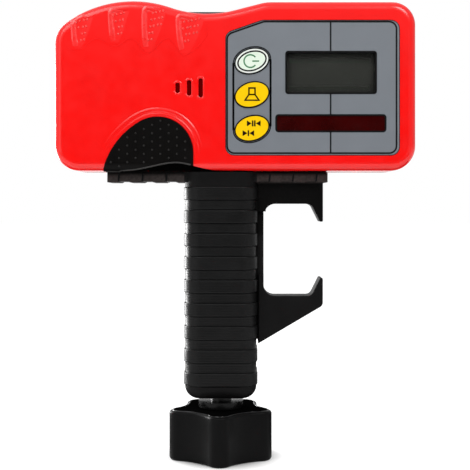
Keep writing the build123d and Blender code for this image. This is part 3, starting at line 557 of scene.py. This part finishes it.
class Print:
    """Flat shapes laid on a face that looks along -Y, gathered into one piece."""

    def __init__(self, front, back):
        self.front = front
        self.back = back
        self.points = []
        self.faces = []

    def fill(self, outline):
        """A filled outline."""
        self.faces += swept(len(self.points), 2, len(outline))
        self.points += [(x, y, z) for y in (self.front, self.back) for x, z in outline]

    def line(self, outline, width, closed=False):
        """A line of some width along an outline."""
        left, right = sides(outline, width, closed)
        start = len(self.points)
        count = len(outline)
        for edge, depth in ((left, self.front), (right, self.front), (right, self.back), (left, self.back)):
            self.points += [(p.x, depth, p.y) for p in edge]
        faces = bands(start, 4, count)
        if not closed:
            faces = [face for face in faces if face[1] - face[0] == 1]
            faces.append([start + row * count for row in range(4)])
            faces.append([start + row * count + count - 1 for row in range(4)][::-1])
        self.faces += faces

    def made(self, name, body, slot, look=None):
        """The gathered shapes as a piece."""
        piece(name, self.points, self.faces, body, slot, look)


def key_middle(key):
    """A key's centre on the face, and its front."""
    low, high = corners(key + "_key")
    return (low.x + high.x) / 2, (low.z + high.z) / 2, low.y


def key_oval(key, grow, steps=72):
    """A key's tilted oval outline, grown on every side."""
    x, z, _ = key_middle(key)
    along = Vector((math.cos(key_tilt), math.sin(key_tilt)))
    across = Vector((-along.y, along.x))
    points = around(Vector((x, z)), along * (key_long + grow), across * (key_short + grow), steps)
    return [tuple(p) for p in points]


def panel_outline(left_in, bottom_in, right_in, top_in):
    """The panel's outline, moved in on each side, with its upper left corner cut off."""
    left, right = panel_low.x + left_in, panel_high.x - right_in
    bottom, top = panel_low.z + bottom_in, panel_high.z - top_in
    points = [(left, bottom), (right, bottom), (right, top),
              (left + panel_cut[0], top), (left, top - panel_cut[1])]
    return rounded(points, panel_corner - max(left_in, top_in))


def opening(low, high, trim, radius):
    """The outline of an opening that lies inside a plate's edges."""
    return rectangle(low.x + trim, low.z + trim, high.x - trim, high.z - trim, radius)


def panel_printing():
    """The black border, the centre line, the sensor window's frame and the lines round the keys."""
    ink = Print(face_y - lift, face_y + lift)
    ink.line(panel_outline(border_left, border_bottom, border_right, border_top), line_width, closed=True)
    rim = rim_width / 2
    ink.line(panel_outline(rim, rim, rim, rim), rim_width, closed=True)
    top, bottom = panel_high.z - border_top, panel_low.z + border_bottom
    lcd_top, lcd_bottom = glass_high.z - lcd_margin, glass_low.z + lcd_margin
    sensor_top, sensor_bottom = filter_high.z - filter_flange, filter_low.z + filter_flange
    for high, low in ((top, lcd_top), (lcd_bottom, sensor_top), (sensor_bottom, bottom)):
        ink.line([(centre_line_x, high), (centre_line_x, low)], centre_line)
    ends = [key_oval(key, contour_gap) for key in ("power", "mode")]
    both = ends[0] + ends[1]
    ink.line([both[n] for n in geometry.convex_hull_2d(both)], contour_line, closed=True)
    for furthest in (min, max):
        ink.line([furthest(end) for end in ends], contour_side)
    for key in key_slots:
        ink.line(key_oval(key, key_ring), key_line, closed=True)
    ink.line(opening(filter_low, filter_high, filter_flange, filter_corner), line_width, closed=True)
    ink.made("panel_printing", "detector", "panel_grey", "ink_black")


def lcd_bezel():
    """The black frame that lines the display's opening."""
    outer, top, slope, inner, proud = 0.2, -0.15, 0.3, -0.05, 3 * lift
    section = [(outer, face_y - lift), (outer, face_y - proud), (top, face_y - proud),
               (-bezel_wall, face_y + slope), (-bezel_wall, glass_low.y - lift),
               (inner, glass_low.y - lift), (inner, face_y - lift)]
    rings = [[(x, y, z) for x, z in opening(glass_low, glass_high, lcd_margin - grow, lcd_corner + grow)]
             for grow, y in section]
    ringed("lcd_bezel", rings, "detector", "case_black", "ink_black")


def power_symbol():
    """The white key's inner line, pale centre and green on-off sign."""
    x, z, front = key_middle("power")
    rim, ring_line = 1.35, 0.66
    middle, level, radius, gap, stroke, bar = x - 0.75, z - 0.1, 2.9, 38, 0.64, (0.9, 4.0)
    outline = key_oval("power", -rim)
    centre = Print(front - lift, front + lift)
    centre.fill(outline)
    centre.made("power_centre", "power_button", "key_white", "key_pale")
    ring = Print(front - 2 * lift, front)
    ring.line(outline, ring_line, closed=True)
    ring.made("power_ring", "power_button", "key_white", "ink_black")
    sign = Print(front - 2 * lift, front)
    sign.line(arc_points(middle, level, radius, gap, 360 - gap, 40), stroke)
    sign.line([(middle + end, level) for end in bar], stroke)
    sign.made("power_sign", "power_button", "key_white", "ink_green")


def sound_symbol():
    """The outlined loudspeaker sign."""
    x, z, front = key_middle("sound")
    sign = Print(front - lift, front + lift)
    box, top, horn, foot, stroke = 1.4, 3.0, 3.2, -2.6, 0.68
    sign.line([(x - box, z), (x - box, z + top), (x + box, z + top), (x + box, z)], stroke, closed=True)
    sign.line([(x - box, z), (x + box, z), (x + horn, z + foot), (x - horn, z + foot)], stroke, closed=True)
    sign.made("sound_sign", "sound_button", "key_yellow", "ink_brown")


def mode_symbol():
    """Two rows of facing arrowheads, for the coarse and the fine setting."""
    x, z, front = key_middle("mode")
    sign = Print(front - lift, front + lift)
    half, stroke = 1.35, 0.7
    rows = ((x + 0.8, z + 2.2, 3.15, 1.0, (-0.5, 0.5)), (x - 1.65, z - 2.3, 2.65, 0.45, (0.0,)))
    for middle, level, reach, tip, bars in rows:
        for way in (-1, 1):
            sign.fill([(middle + way * reach, level - half), (middle + way * reach, level + half),
                       (middle + way * tip, level)])
        for bar in bars:
            sign.line([(middle + bar, level - half), (middle + bar, level + half)], stroke)
    sign.made("mode_sign", "mode_button", "key_yellow", "ink_brown")


def key_edges():
    """The black line printed round the rim of each key."""
    for key, slot in key_slots.items():
        front = key_middle(key)[2]
        edge = Print(front - lift, front + key_round)
        edge.line(key_oval(key, -key_edge / 2), key_edge, closed=True)
        edge.made(key + "_key_edge", key + "_button", slot, "ink_black")


def slot_outlines(grow):
    """The speaker slots' outlines, grown on every side."""
    nearly_round = 0.98
    outlines = []
    for place, length in enumerate(slot_lengths):
        x = slot_x + (place - 1) * slot_pitch
        half, long = slot_width / 2 + grow, length / 2 + grow
        outlines.append(rectangle(x - half, slot_z - long, x + half, slot_z + long, half * nearly_round))
    return outlines


def slot_floors():
    """The floors of the speaker slots, in red darkened with painted shade."""
    clear, thick = 0.02, 0.3
    floors = Print(face_y + slot_deep, face_y + slot_deep + thick)
    for outline in slot_outlines(-clear):
        floors.fill(outline)
    floors.made("slot_floors", "detector", "red_plastic", "red_painted_shade")


def surface(node):
    """A solid's faces, for setting small details on them."""
    mesh = frame["nodes"][node].data
    return BVHTree.FromPolygons([v.co for v in mesh.vertices], [p.vertices for p in mesh.polygons])


def front_at(tree, x, z, before=20):
    """Where a solid's front lies at a place, and which way it looks."""
    start = Vector((x, shell_low.y - before, z)) * MM
    hit, normal, _, _ = tree.ray_cast(start, Vector((0, 1, 0)))
    return (hit / MM if hit is not None else None), normal


def under_at(tree, x, y, below=5):
    """How high a solid's underside lies at a place."""
    hit, _, _, _ = tree.ray_cast(Vector((x, y, shell_low.z - below)) * MM, upright)
    return hit.z / MM if hit is not None else None


class Domes:
    """Small raised studs on the case, gathered into one piece."""

    rings = ((1.0, -0.35), (1.0, 0.0), (0.86, 0.45), (0.55, 0.84), (0.25, 0.97))
    spokes = 16

    def __init__(self):
        self.points = []
        self.faces = []

    def stud(self, foot, normal, radius, height):
        """One stud on a surface."""
        across = normal.orthogonal().normalized()
        other = normal.cross(across)
        start = len(self.points)
        for share, level in self.rings:
            middle, reach = foot + normal * (height * level), radius * share
            self.points += around(middle, across * reach, other * reach, self.spokes)
        top = len(self.points)
        self.points.append(foot + normal * height)
        self.faces += bands(start, len(self.rings), self.spokes, closed=False)
        last = top - self.spokes
        for n in range(self.spokes):
            self.faces.append([last + n, last + (n + 1) % self.spokes, top])
        self.faces.append([start + n for n in range(self.spokes)][::-1])

    def made(self, name, slot, look):
        """The gathered studs as a piece."""
        piece(name, self.points, self.faces, "detector", slot, look, smooth_angle=60.0)


def ridge(name, path, tree, width, height, start, look=None):
    """A low soft ridge along a line on the case's front, thinning out at both ends."""
    points = []
    profile, sink, least, end = 11, 0.02, 0.05, 8
    feet = [front_at(tree, x, z) for x, z in path]
    feet = [(foot, normal) for foot, normal in feet if foot is not None and normal.y < -least_facing]
    count = len(feet)
    for place, (foot, normal) in enumerate(feet):
        before, after = feet[max(0, place - 1)][0], feet[min(count - 1, place + 1)][0]
        across = (after - before).cross(normal).normalized()
        share = place / (count - 1)
        taper = min(1.0, start * share + least, end * (1 - share) + least)
        for n in range(profile):
            angle = math.pi * n / (profile - 1)
            rise = height * taper * math.sin(angle) ** 2 - sink
            points.append(foot + across * (width / 2 * math.cos(angle)) + normal * rise)
    piece(name, points, swept(0, count, profile), "detector", "red_plastic", look)


def pad_ridge(name, tree, gap, width, height):
    """A raised red rim that runs round the thumb pad, some way outside it."""
    right_z = pad_high.z - pad_right_r
    lean = math.radians(pad_lean)
    apart = pad_left_r - pad_right_r
    left_x, left_z = pad_right_x + apart * math.sin(lean), right_z - apart * math.cos(lean)
    path = arc_points(left_x, left_z, pad_left_r + gap, start=160, end=90 + pad_lean, steps=30)
    path += arc_points(pad_right_x, right_z, pad_right_r + gap, start=90 + pad_lean, end=0, steps=50)[1:]
    x, z = path[-1]
    path += [(x, z - step) for step in (0.8, 1.6, 2.4)]
    ridge(name, path, tree, width, height, start=1.7)


def finger_ridge(tree):
    """The faint scalloped line that hangs under the four finger dimples, in red darkened with painted shade
    of a step.
    """
    left, top = shell_low.x, shell_high.z
    start, below, lead, shoulder, end, width, deep = (5.3, 20.8), 0.3, 0.8, 8.0, (9.3, 11.5), 0.9, 0.07
    points = [(left + start[0], top - start[1])]
    for place, (from_left, drop, _, height, lean) in enumerate(dimples):
        sway = math.sin(math.radians(lean)) * height / 2
        points.append((left + from_left - sway, top - drop - height / 2 - below))
        if place < len(dimples) - 1:
            points.append((left + (from_left + dimples[place + 1][0]) / 2 - lead, top - scallop_peak))
    last = left + dimples[-1][0]
    points += [(last + shoulder, top - scallop_peak), (last + end[0], top - end[1])]
    ridge("finger_ridge", smooth_path(points), tree, width, deep, start=8.0, look="red_painted_step_shade")


def slot_rims(tree):
    """The soft raised rim round each speaker slot."""
    gap, width, height = slot_rim
    for place, outline in enumerate(slot_outlines(gap)):
        ridge(f"slot_rim_{place + 1}", outline + outline[:1], tree, width, height, start=30.0)


def dimple_half(width, share):
    """Half of a dimple's width at a share of its height."""
    reach = (width ** 2 / 4 - dimple_depth ** 2) / (2 * dimple_depth)
    return math.sqrt((reach + dimple_depth * share) ** 2 - reach ** 2)


def dimple_frame(from_left, drop, lean):
    """A dimple's middle, and its own up and right on the face."""
    turn = math.radians(lean)
    middle = Vector((shell_low.x + from_left, shell_high.z - drop))
    return middle, Vector((math.sin(turn), math.cos(turn))), Vector((math.cos(turn), -math.sin(turn)))


def dimple_lips(tree):
    """The soft raised lip inside each dimple's left side and along its upper edge."""
    for place, (from_left, drop, width, height, lean) in enumerate(dimples):
        middle, up, right = dimple_frame(from_left, drop, lean)
        points = []
        for share in (0.12, 0.3, 0.5, 0.7, 0.85):
            aside = max(0.0, dimple_half(width, share) - lip_inset)
            points.append(middle + up * (share - 0.5) * height - right * aside)
        side = width / 2 - lip_inset
        for below, aside in ((1.0, side - 0.7), (0.5, side - 2.2), (0.5, -width * 0.2)):
            points.append(middle + up * (height / 2 - below) - right * aside)
        name = f"dimple_lip_{place + 1}"
        ridge(name, smooth_path(points), tree, lip_width, lip_height, start=3.0, look="red_polished")


def dimple_studs(tree):
    """Rows of small paired studs in the upper part of each finger dimple, in paler red as a painted
    highlight.
    """
    domes = Domes()
    lowest, margin = 0.28, 0.7
    across = Vector((math.cos(stud_tilt), math.sin(stud_tilt)))
    for number, (from_left, drop, width, height, lean) in enumerate(dimples):
        middle, up, _ = dimple_frame(from_left, drop, lean)
        columns = (-1.5, -0.5, 0.5, 1.5) if number < 2 else (-2, -1, 0, 1, 2)
        for row in range(int(height / stud_pitch[1])):
            level = height / 2 - stud_drop - row * stud_pitch[1]
            share = level / height + 0.5
            half = dimple_half(width, share) if share > lowest else 0.0
            for column in columns:
                aside = column * stud_pitch[0]
                if not stud_inset - half < aside < half - margin:
                    continue
                for side in (-stud_pair, stud_pair):
                    foot, normal = front_at(tree, *(middle + up * level + across * (aside + side)))
                    if foot is not None and normal.y < -least_facing:
                        domes.stud(foot, normal, stud_r, stud_height)
    domes.made("dimple_studs", "red_plastic", "red_painted_highlight")


def pad_dots(tree):
    """Staggered small studs over the thumb pad, lighter than the pad as a painted highlight."""
    domes = Domes()
    margin, radius, height, facing = 1.6, 0.5, 0.36, 0.5
    columns = int((pad_high.x - pad_low.x) / pad_pitch) + 2
    rows = int((pad_high.z - pad_low.z) / pad_pitch) + 2
    nearby = ((0, 0), (margin, 0), (-margin, 0), (0, margin), (0, -margin))
    for column in range(columns):
        x = pad_low.x + column * pad_pitch
        for row in range(rows):
            z = pad_high.z - (row + (column % 2) / 2) * pad_pitch
            if None in [front_at(tree, x + dx, z + dz)[0] for dx, dz in nearby]:
                continue
            foot, normal = front_at(tree, x, z)
            if normal.y < -facing:
                domes.stud(foot, normal, radius, height)
    domes.made("pad_dots", "pad_rubber", "rubber_painted_highlight")


def pad_lip(tree):
    """The round bead along the pad's wavy lower edge, in lighter grey rubber that partly paints the
    highlight the bead catches.
    """
    path = []
    steps, spokes = 56, 10
    radius, above, end, behind, inside = 0.42, 0.12, 1.2, 0.3, 0.6
    for n in range(steps + 1):
        x = pad_low.x + end + (pad_high.x - pad_low.x - 2 * end) * n / steps
        low = under_at(tree, x, pad_high.y - behind) or under_at(tree, x, face_y + inside)
        foot = front_at(tree, x, low + above)[0] if low is not None else None
        if foot is not None:
            path.append(foot)
    points = []
    for place, foot in enumerate(path):
        along = path[min(len(path) - 1, place + 1)] - path[max(0, place - 1)]
        forward = along.cross(upright).normalized()
        up = forward.cross(along).normalized()
        points += around(foot, forward * radius, up * radius, spokes)
    piece("pad_lip", points, swept(0, len(path), spokes), "detector", "pad_rubber", "lip_rubber")


def arch_painted_shade_liner(tree):
    """A black lining over the roof and the back of the arch under the pad, painted shade for the dark void
    there.
    """
    steps, thick, clear, above, deepest, inset, behind = 48, 0.1, 0.02, 0.1, 4.0, 0.3, 0.03
    back = face_y + arch_deep - clear
    low = shell_low.z
    points = []
    for n in range(steps + 1):
        x = arch_left + (arch_right - arch_left) * n / steps
        high = under_at(tree, x, back - inset)
        roof = max(low + 2.2 * thick, high if high is not None else low) - clear
        edge = front_at(tree, x, roof + above)[0]
        front = min(edge.y + behind if edge is not None else face_y + deepest, back - 2 * thick)
        section = ((front, roof), (back, roof), (back, low),
                   (back - thick, low), (back - thick, roof - thick), (front, roof - thick))
        points += [(x, y, z) for y, z in section]
    faces = swept(0, steps + 1, len(section))
    piece("arch_painted_shade_liner", points, faces, "detector", "pad_rubber", "painted_shade_black", smooth_angle=20.0)


def handle_ring(offset):
    """The handle's rounded rectangle, grown or shrunk, with the flat track cut on its right."""
    half_x, half_y = handle_width / 2 - handle_corner, handle_depth / 2 - handle_corner
    radius = handle_corner + offset
    edge_x = half_x + radius
    steps, slant = 14, 0.05
    flat_x, flat_y = min(track_x, edge_x), track_half - slant
    ring = [(edge_x, -track_half), (flat_x, -flat_y), (flat_x, flat_y), (edge_x, track_half)]
    for turn, (x, y) in enumerate(((1, 1), (-1, 1), (-1, -1), (1, -1))):
        ring += arc_points(x * half_x, y * half_y, radius, 90 * turn, 90 * turn + 90, steps)
    return ring


def grip_profile():
    """The sleeve's wall from its lower inner edge up its ribbed outside to its upper inner edge."""
    profile = [(sleeve_inner, sleeve_low.z), (0.0, sleeve_low.z)]
    ribs = int((sleeve_high.z - sleeve_low.z - rib_height) / rib_pitch) + 1
    turns = [share * math.pi / 2 for share in (0.35, 0.7, 1.0)]
    curve = [(rib_proud * math.sin(turn), rib_round * (1 - math.cos(turn))) for turn in turns]
    slope = notch_high * 0.8
    below = sleeve_low.z
    for rib in reversed(range(ribs)):
        top = sleeve_high.z - rib * rib_pitch
        bottom = top - rib_height
        profile += fine_grooves(0.0, below + notch_high, bottom - notch_high)
        profile += [(0.0, bottom - notch_high), (-notch_deep, bottom - slope), (-notch_deep, bottom)]
        profile += [(out, bottom + rise) for out, rise in curve]
        profile += fine_grooves(rib_proud, bottom + rib_round, top - rib_round)
        profile += [(out, top - rise) for out, rise in reversed(curve)]
        if rib:
            profile += [(-notch_deep, top), (-notch_deep, top + slope), (0.0, top + notch_high)]
        below = top
    profile.append((sleeve_inner, sleeve_high.z))
    return profile


def fine_grooves(level, low, high):
    """Fine moulded lines across a band of the sleeve, between two heights."""
    margin, half = 0.4, 0.16
    count = int((high - low - margin) / groove_pitch)
    first = (low + high) / 2 - (count - 1) / 2 * groove_pitch
    lines = []
    for place in range(count):
        for step, deep in ((-half, 0.0), (0.0, groove_deep), (half, 0.0)):
            lines.append((level - deep, first + place * groove_pitch + step))
    return lines


def jaw_web():
    """The thin webs that close the slit between the handle and the fixed jaw, each side of its pocket."""
    low, high, corner, overlap, reach = 116.7, 130.4, 0.3, 0.3, 1.1
    left, right = handle_width / 2 - overlap, handle_width / 2 + reach
    for place, (front, back) in enumerate(((-6.85, -5.45), (5.45, 6.85))):
        web = Print(front, back)
        web.fill(rectangle(left, low, right, high, corner))
        web.made(f"jaw_web_{place + 1}", "clamp", "clamp_plastic")


def platform_grooves():
    """Flat black strips across the platform's front and back edges, painted shade in place of upright
    grooves.
    """
    low, high, slant = 130.5, head_high.z - 0.3, 0.25
    for name, edge in (("front", -platform_half), ("back", platform_half)):
        grooves = Print(edge - lift, edge + lift)
        for x in groove_places:
            grooves.line([(x - slant, low), (x + slant, high)], groove_width)
        grooves.made(f"platform_grooves_{name}", "clamp", "clamp_plastic", "ink_black")


def case_seal_ring():
    """The dark seal under the case that closes the gap over the platform."""
    low, high = head_high.z + seal_gap, shell_low.z + lift
    inset, corner = 0.5, 1.0
    left, right = head_low.x + inset, head_high.x - inset
    outer = rectangle(left, -seal_outer, right, seal_outer, corner)
    wall = seal_outer - seal_inner
    inner = rectangle(left + wall, -seal_inner, right - wall, seal_inner, corner - wall / 2)
    section = ((outer, low), (outer, high), (inner, high), (inner, low))
    rings = [[(x, y, z) for x, y in outline] for outline, z in section]
    ringed("case_seal_ring", rings, "detector", "pad_rubber")


def knob_top(tree):
    """A thin black sheet on the knob's flat top, painted shade standing in for a hollow, and the thin
    polished bead round it.
    """
    level = corners("star_knob")[1].z
    steps, spokes, reach, below, inset, radius, drop, thick = 180, 8, 60.0, 2.0, 1.7, 0.32, 0.08, 0.06
    bead, hollow = [], []
    for step in range(steps):
        turn = 2 * math.pi * step / steps
        way = Vector((math.cos(turn), math.sin(turn), 0))
        start = (way * reach + upright * (level - below)) * MM
        edge = tree.ray_cast(start, -way)[0].xy.length / MM - inset
        hollow.append(way * edge)
        bead.append(around(way * edge + upright * (level - drop), way * radius, upright * radius, spokes))
    ringed("knob_bead", bead, "knob", "knob_plastic", "rim_gloss")
    points = [p + upright * (level + rise) for rise in (-thick, thick) for p in hollow]
    piece("knob_painted_hollow", points, swept(0, 2, steps), "knob", "knob_plastic", "painted_shade_black")


def cut_by_box(obj, low, high):
    """Takes a box out of a piece."""
    mesh = bpy.data.meshes.new("cutter")
    shape = bmesh.new()
    bmesh.ops.create_cube(shape, size=1.0)
    for vert in shape.verts:
        share = vert.co + Vector((0.5, 0.5, 0.5))
        vert.co = Vector([a + (b - a) * s for a, b, s in zip(low, high, share)]) * MM
    shape.to_mesh(mesh)
    shape.free()
    cutter = placed("cutter", mesh)
    step = obj.modifiers.new("slot", "BOOLEAN")
    step.operation = "DIFFERENCE"
    step.object = cutter
    graph = bpy.context.evaluated_depsgraph_get()
    cut = bpy.data.meshes.new_from_object(obj.evaluated_get(graph))
    obj.modifiers.remove(step)
    obj.data = cut
    bpy.data.objects.remove(cutter)
    bpy.data.meshes.remove(mesh)


def grip():
    """The ribbed rubber sleeve, with rounded ribs, fine grooves and the slot for the jaw's tongue."""
    rings = [[(x, y, z) for x, y in handle_ring(offset)] for offset, z in grip_profile()]
    obj = ringed("grip_ribs", rings, "clamp", "grip_rubber")
    cut_by_box(obj, (handle_width / 4, -slot_half, slot_low), (handle_width, slot_half, slot_high))
    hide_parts("grip_sleeve")


def camera():
    """Level in front of the face, as the photograph was taken."""
    distance, scale, eye_x, eye_z, image, horizon = 480.0, 0.46, 6.7, 119.6, 470, 205
    sensor = 36.0
    data = bpy.data.cameras.new("camera")
    data.sensor_width = sensor
    data.lens = sensor * distance / (image * scale)
    data.shift_y = (horizon - image / 2) / image
    obj = placed("camera", data)
    obj.location = Vector((eye_x, face_y - distance, eye_z)) * MM
    obj.rotation_euler = (math.radians(90), 0, 0)
    bpy.context.scene.camera = obj


def lamp(name, place, size, power, target=(0.0067, 0, 0.13), tall=1.0):
    """A soft lamp that faces the object, some times as tall as it is wide."""
    data = bpy.data.lights.new(name, "AREA")
    data.shape = "RECTANGLE"
    data.size = size
    data.size_y = size * tall
    data.energy = power
    obj = placed(name, data)
    obj.location = place
    obj.rotation_euler = (Vector(target) - Vector(place)).to_track_quat("-Z", "Y").to_euler()


def seen_directly(tree):
    """One for camera, mirror and see-through rays, and nought for the rest."""
    path = add(tree, "LightPath")
    mirror = maths(tree, "MAXIMUM", path.outputs["Is Glossy Ray"], path.outputs["Is Transmission Ray"])
    return maths(tree, "MAXIMUM", path.outputs["Is Camera Ray"], mirror)


def mirrored_room(tree):
    """How much of the room's white mirror rays find: less low in front, and less to the right."""
    front_share, right_share, depths, heights, widths = 0.3, 0.6, (-0.97, -0.1), (0.14, 0.36), (0.2, 0.9)
    x, y, z = (place_along(tree, axis, "Generated") for axis in "XYZ")
    level = mapped(tree, y, *depths, front_share, 1.0)
    forward = maths(tree, "MAXIMUM", level, mapped(tree, z, *heights, front_share, 1.0))
    aside = mapped(tree, x, *widths, 1.0, right_share)
    path = add(tree, "LightPath")
    lost = maths(tree, "SUBTRACT", 1.0, maths(tree, "MULTIPLY", forward, aside))
    return maths(tree, "SUBTRACT", 1.0, maths(tree, "MULTIPLY", lost, path.outputs["Is Glossy Ray"]))


def stage_sheet(name, points):
    """A flat stage sheet."""
    mesh = bpy.data.meshes.new(name)
    mesh.from_pydata(points, [], [(0, 1, 2, 3)])
    sheet = placed(name, mesh)
    return sheet


def crossed(node, body, centres, halves):
    """Screws in the solid's place, with a cross recess cut in each head by two boxes."""
    mesh = frame["nodes"][node].data.copy()
    mesh.materials.clear()
    obj = finished(node + "_crossed", mesh, body, "steel")
    for centre in centres:
        for half in halves:
            cut_by_box(obj, Vector(centre) - Vector(half), Vector(centre) + Vector(half))
    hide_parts(node)


def screw_heads():
    """The cross-headed screws of the rear cover and of the moving jaw."""
    long, wide, deep = recess
    back = corners("case_screws")[1].y
    centres = [(shell_low.x + x, back, shell_low.z + z) for x, z in case_screw_places]
    crossed("case_screws", "detector", centres, ((long, deep, wide), (wide, deep, long)))
    low, high = corners("jaw_screws")
    centres = [(high.x, 0.0, z) for z in (low.z + jaw_screw_head_r, high.z - jaw_screw_head_r)]
    crossed("jaw_screws", "jaw", centres, ((deep, long, wide), (deep, wide, long)))


def door_grip():
    """Raised bars and an arrow on the battery door, where a thumb draws it open."""
    middle = (door_low.x + door_high.x) / 2
    top, back = door_high.z, door_high.y
    sunk, proud, half, thick, pitch, count, margin = 0.2, 0.35, 9.0, 0.4, 1.9, 5, 2.4
    arrow_half, arrow_long, arrow_gap = 3.0, 4.0, 1.0
    bars = Print(back - sunk, back + proud)
    for place in range(count):
        level = top - margin - place * pitch
        bars.fill(rectangle(middle - half, level - thick, middle + half, level + thick, thick - 0.01))
    low = top - margin - count * pitch - arrow_gap
    bars.fill([(middle - arrow_half, low), (middle + arrow_half, low), (middle, low - arrow_long)])
    bars.made("door_grip", "door", "case_black", "lip_rubber")


def dark_card(name, points):
    """A black card that only mirror rays see, so that the object's front doesn't mirror white."""
    sheet = stage_sheet(name, points)
    material, tree, shader = node_material(name)
    joined(tree, shader, Base_Color=(0.02, 0.02, 0.02, 1), Roughness=0.9)
    sheet.data.materials.append(material)
    sheet.visible_camera = False
    sheet.visible_diffuse = False
    sheet.visible_shadow = False


def floor_sheet():
    """A pale floor that looks white, with less glow close to the knob so that the shadow there shows."""
    size, share, near, far, near_glow, far_glow = 6, 0.45, 0.018, 0.031, 0.1, 1.87
    floor = stage_sheet("floor", [(-size, -size, 0), (size, -size, 0), (size, size, 0), (-size, size, 0)])
    material, tree, shader = node_material("floor")
    joined(tree, shader, Base_Color=(0.9, 0.9, 0.9, 1), Roughness=0.9)
    off = add(tree, "VectorMath", Vector=spot(tree))
    off.operation = "LENGTH"
    strength = mapped(tree, off.outputs["Value"], near, far, near_glow, far_glow)
    glow = add(tree, "Emission", Strength=strength)
    mix = add(tree, "MixShader", Fac=maths(tree, "MULTIPLY", seen_directly(tree), share))
    plug(tree, mix.inputs[1], shader.outputs["BSDF"])
    plug(tree, mix.inputs[2], glow.outputs["Emission"])
    joined(tree, tree.nodes["Material Output"], Surface=mix.outputs["Shader"])
    floor.data.materials.append(material)


def studio():
    """A white room with a pale floor, dark cards in front and soft lamps, in metres."""
    world = bpy.data.worlds.new("studio")
    bpy.context.scene.world = world
    world.use_nodes = True
    tree = world.node_tree
    ambient = 0.32
    white = mapped(tree, seen_directly(tree), 0.0, 1.0, ambient, 1.0)
    strength = maths(tree, "MULTIPLY", white, mirrored_room(tree))
    joined(tree, tree.nodes["Background"], Color=(1, 1, 1, 1), Strength=strength)
    floor_sheet()
    left, right, front, near, top, foot, reach = -0.8, 0.7, -1.6, -0.3, 0.45, 0.001, 0.3
    dark_card("dark_card", [(left, front, 0), (right, front, 0), (right, front, top), (left, front, top)])
    for name, x, x_end, y, y_end in (("dark_mat", left, right, front, near),
                                     ("dark_foot", -reach, reach, 0.0, reach)):
        dark_card(name, [(x, y, foot), (x_end, y, foot), (x_end, y_end, foot), (x, y_end, foot)])
    lamp("key", (-0.55, -0.9, 1.1), size=0.9, power=8.0)
    lamp("fill", (0.55, -0.85, 0.9), size=0.45, power=6.0)
    lamp("side", (-0.9, -0.9, 0.25), size=0.6, power=1.3, tall=1.4)
    lamp("back", (-0.6, 0.6, 0.5), size=0.5, power=4.0)
    lamp("rim", (-0.45, 0.35, 0.12), size=0.25, power=5.0, target=(0, 0, 0.09))
    bpy.context.scene.view_settings.view_transform = "Standard"


shell_front = surface("front_shell")
pad_front = surface("thumb_pad")
panel_printing()
lcd_bezel()
power_symbol()
sound_symbol()
mode_symbol()
key_edges()
slot_floors()
slot_rims(shell_front)
pad_ridge("outer_ridge", shell_front, *outer_ridge)
pad_ridge("inner_ridge", shell_front, *inner_ridge)
finger_ridge(shell_front)
dimple_lips(shell_front)
dimple_studs(shell_front)
pad_dots(pad_front)
pad_lip(pad_front)
arch_painted_shade_liner(shell_front)
grip()
edged_copy("clamp_head", width=0.35, body="clamp")
edged_copy("lower_jaw", width=0.3, body="jaw")
jaw_web()
knob_top(surface("star_knob"))
platform_grooves()
case_seal_ring()
screw_heads()
door_grip()
camera()
studio()
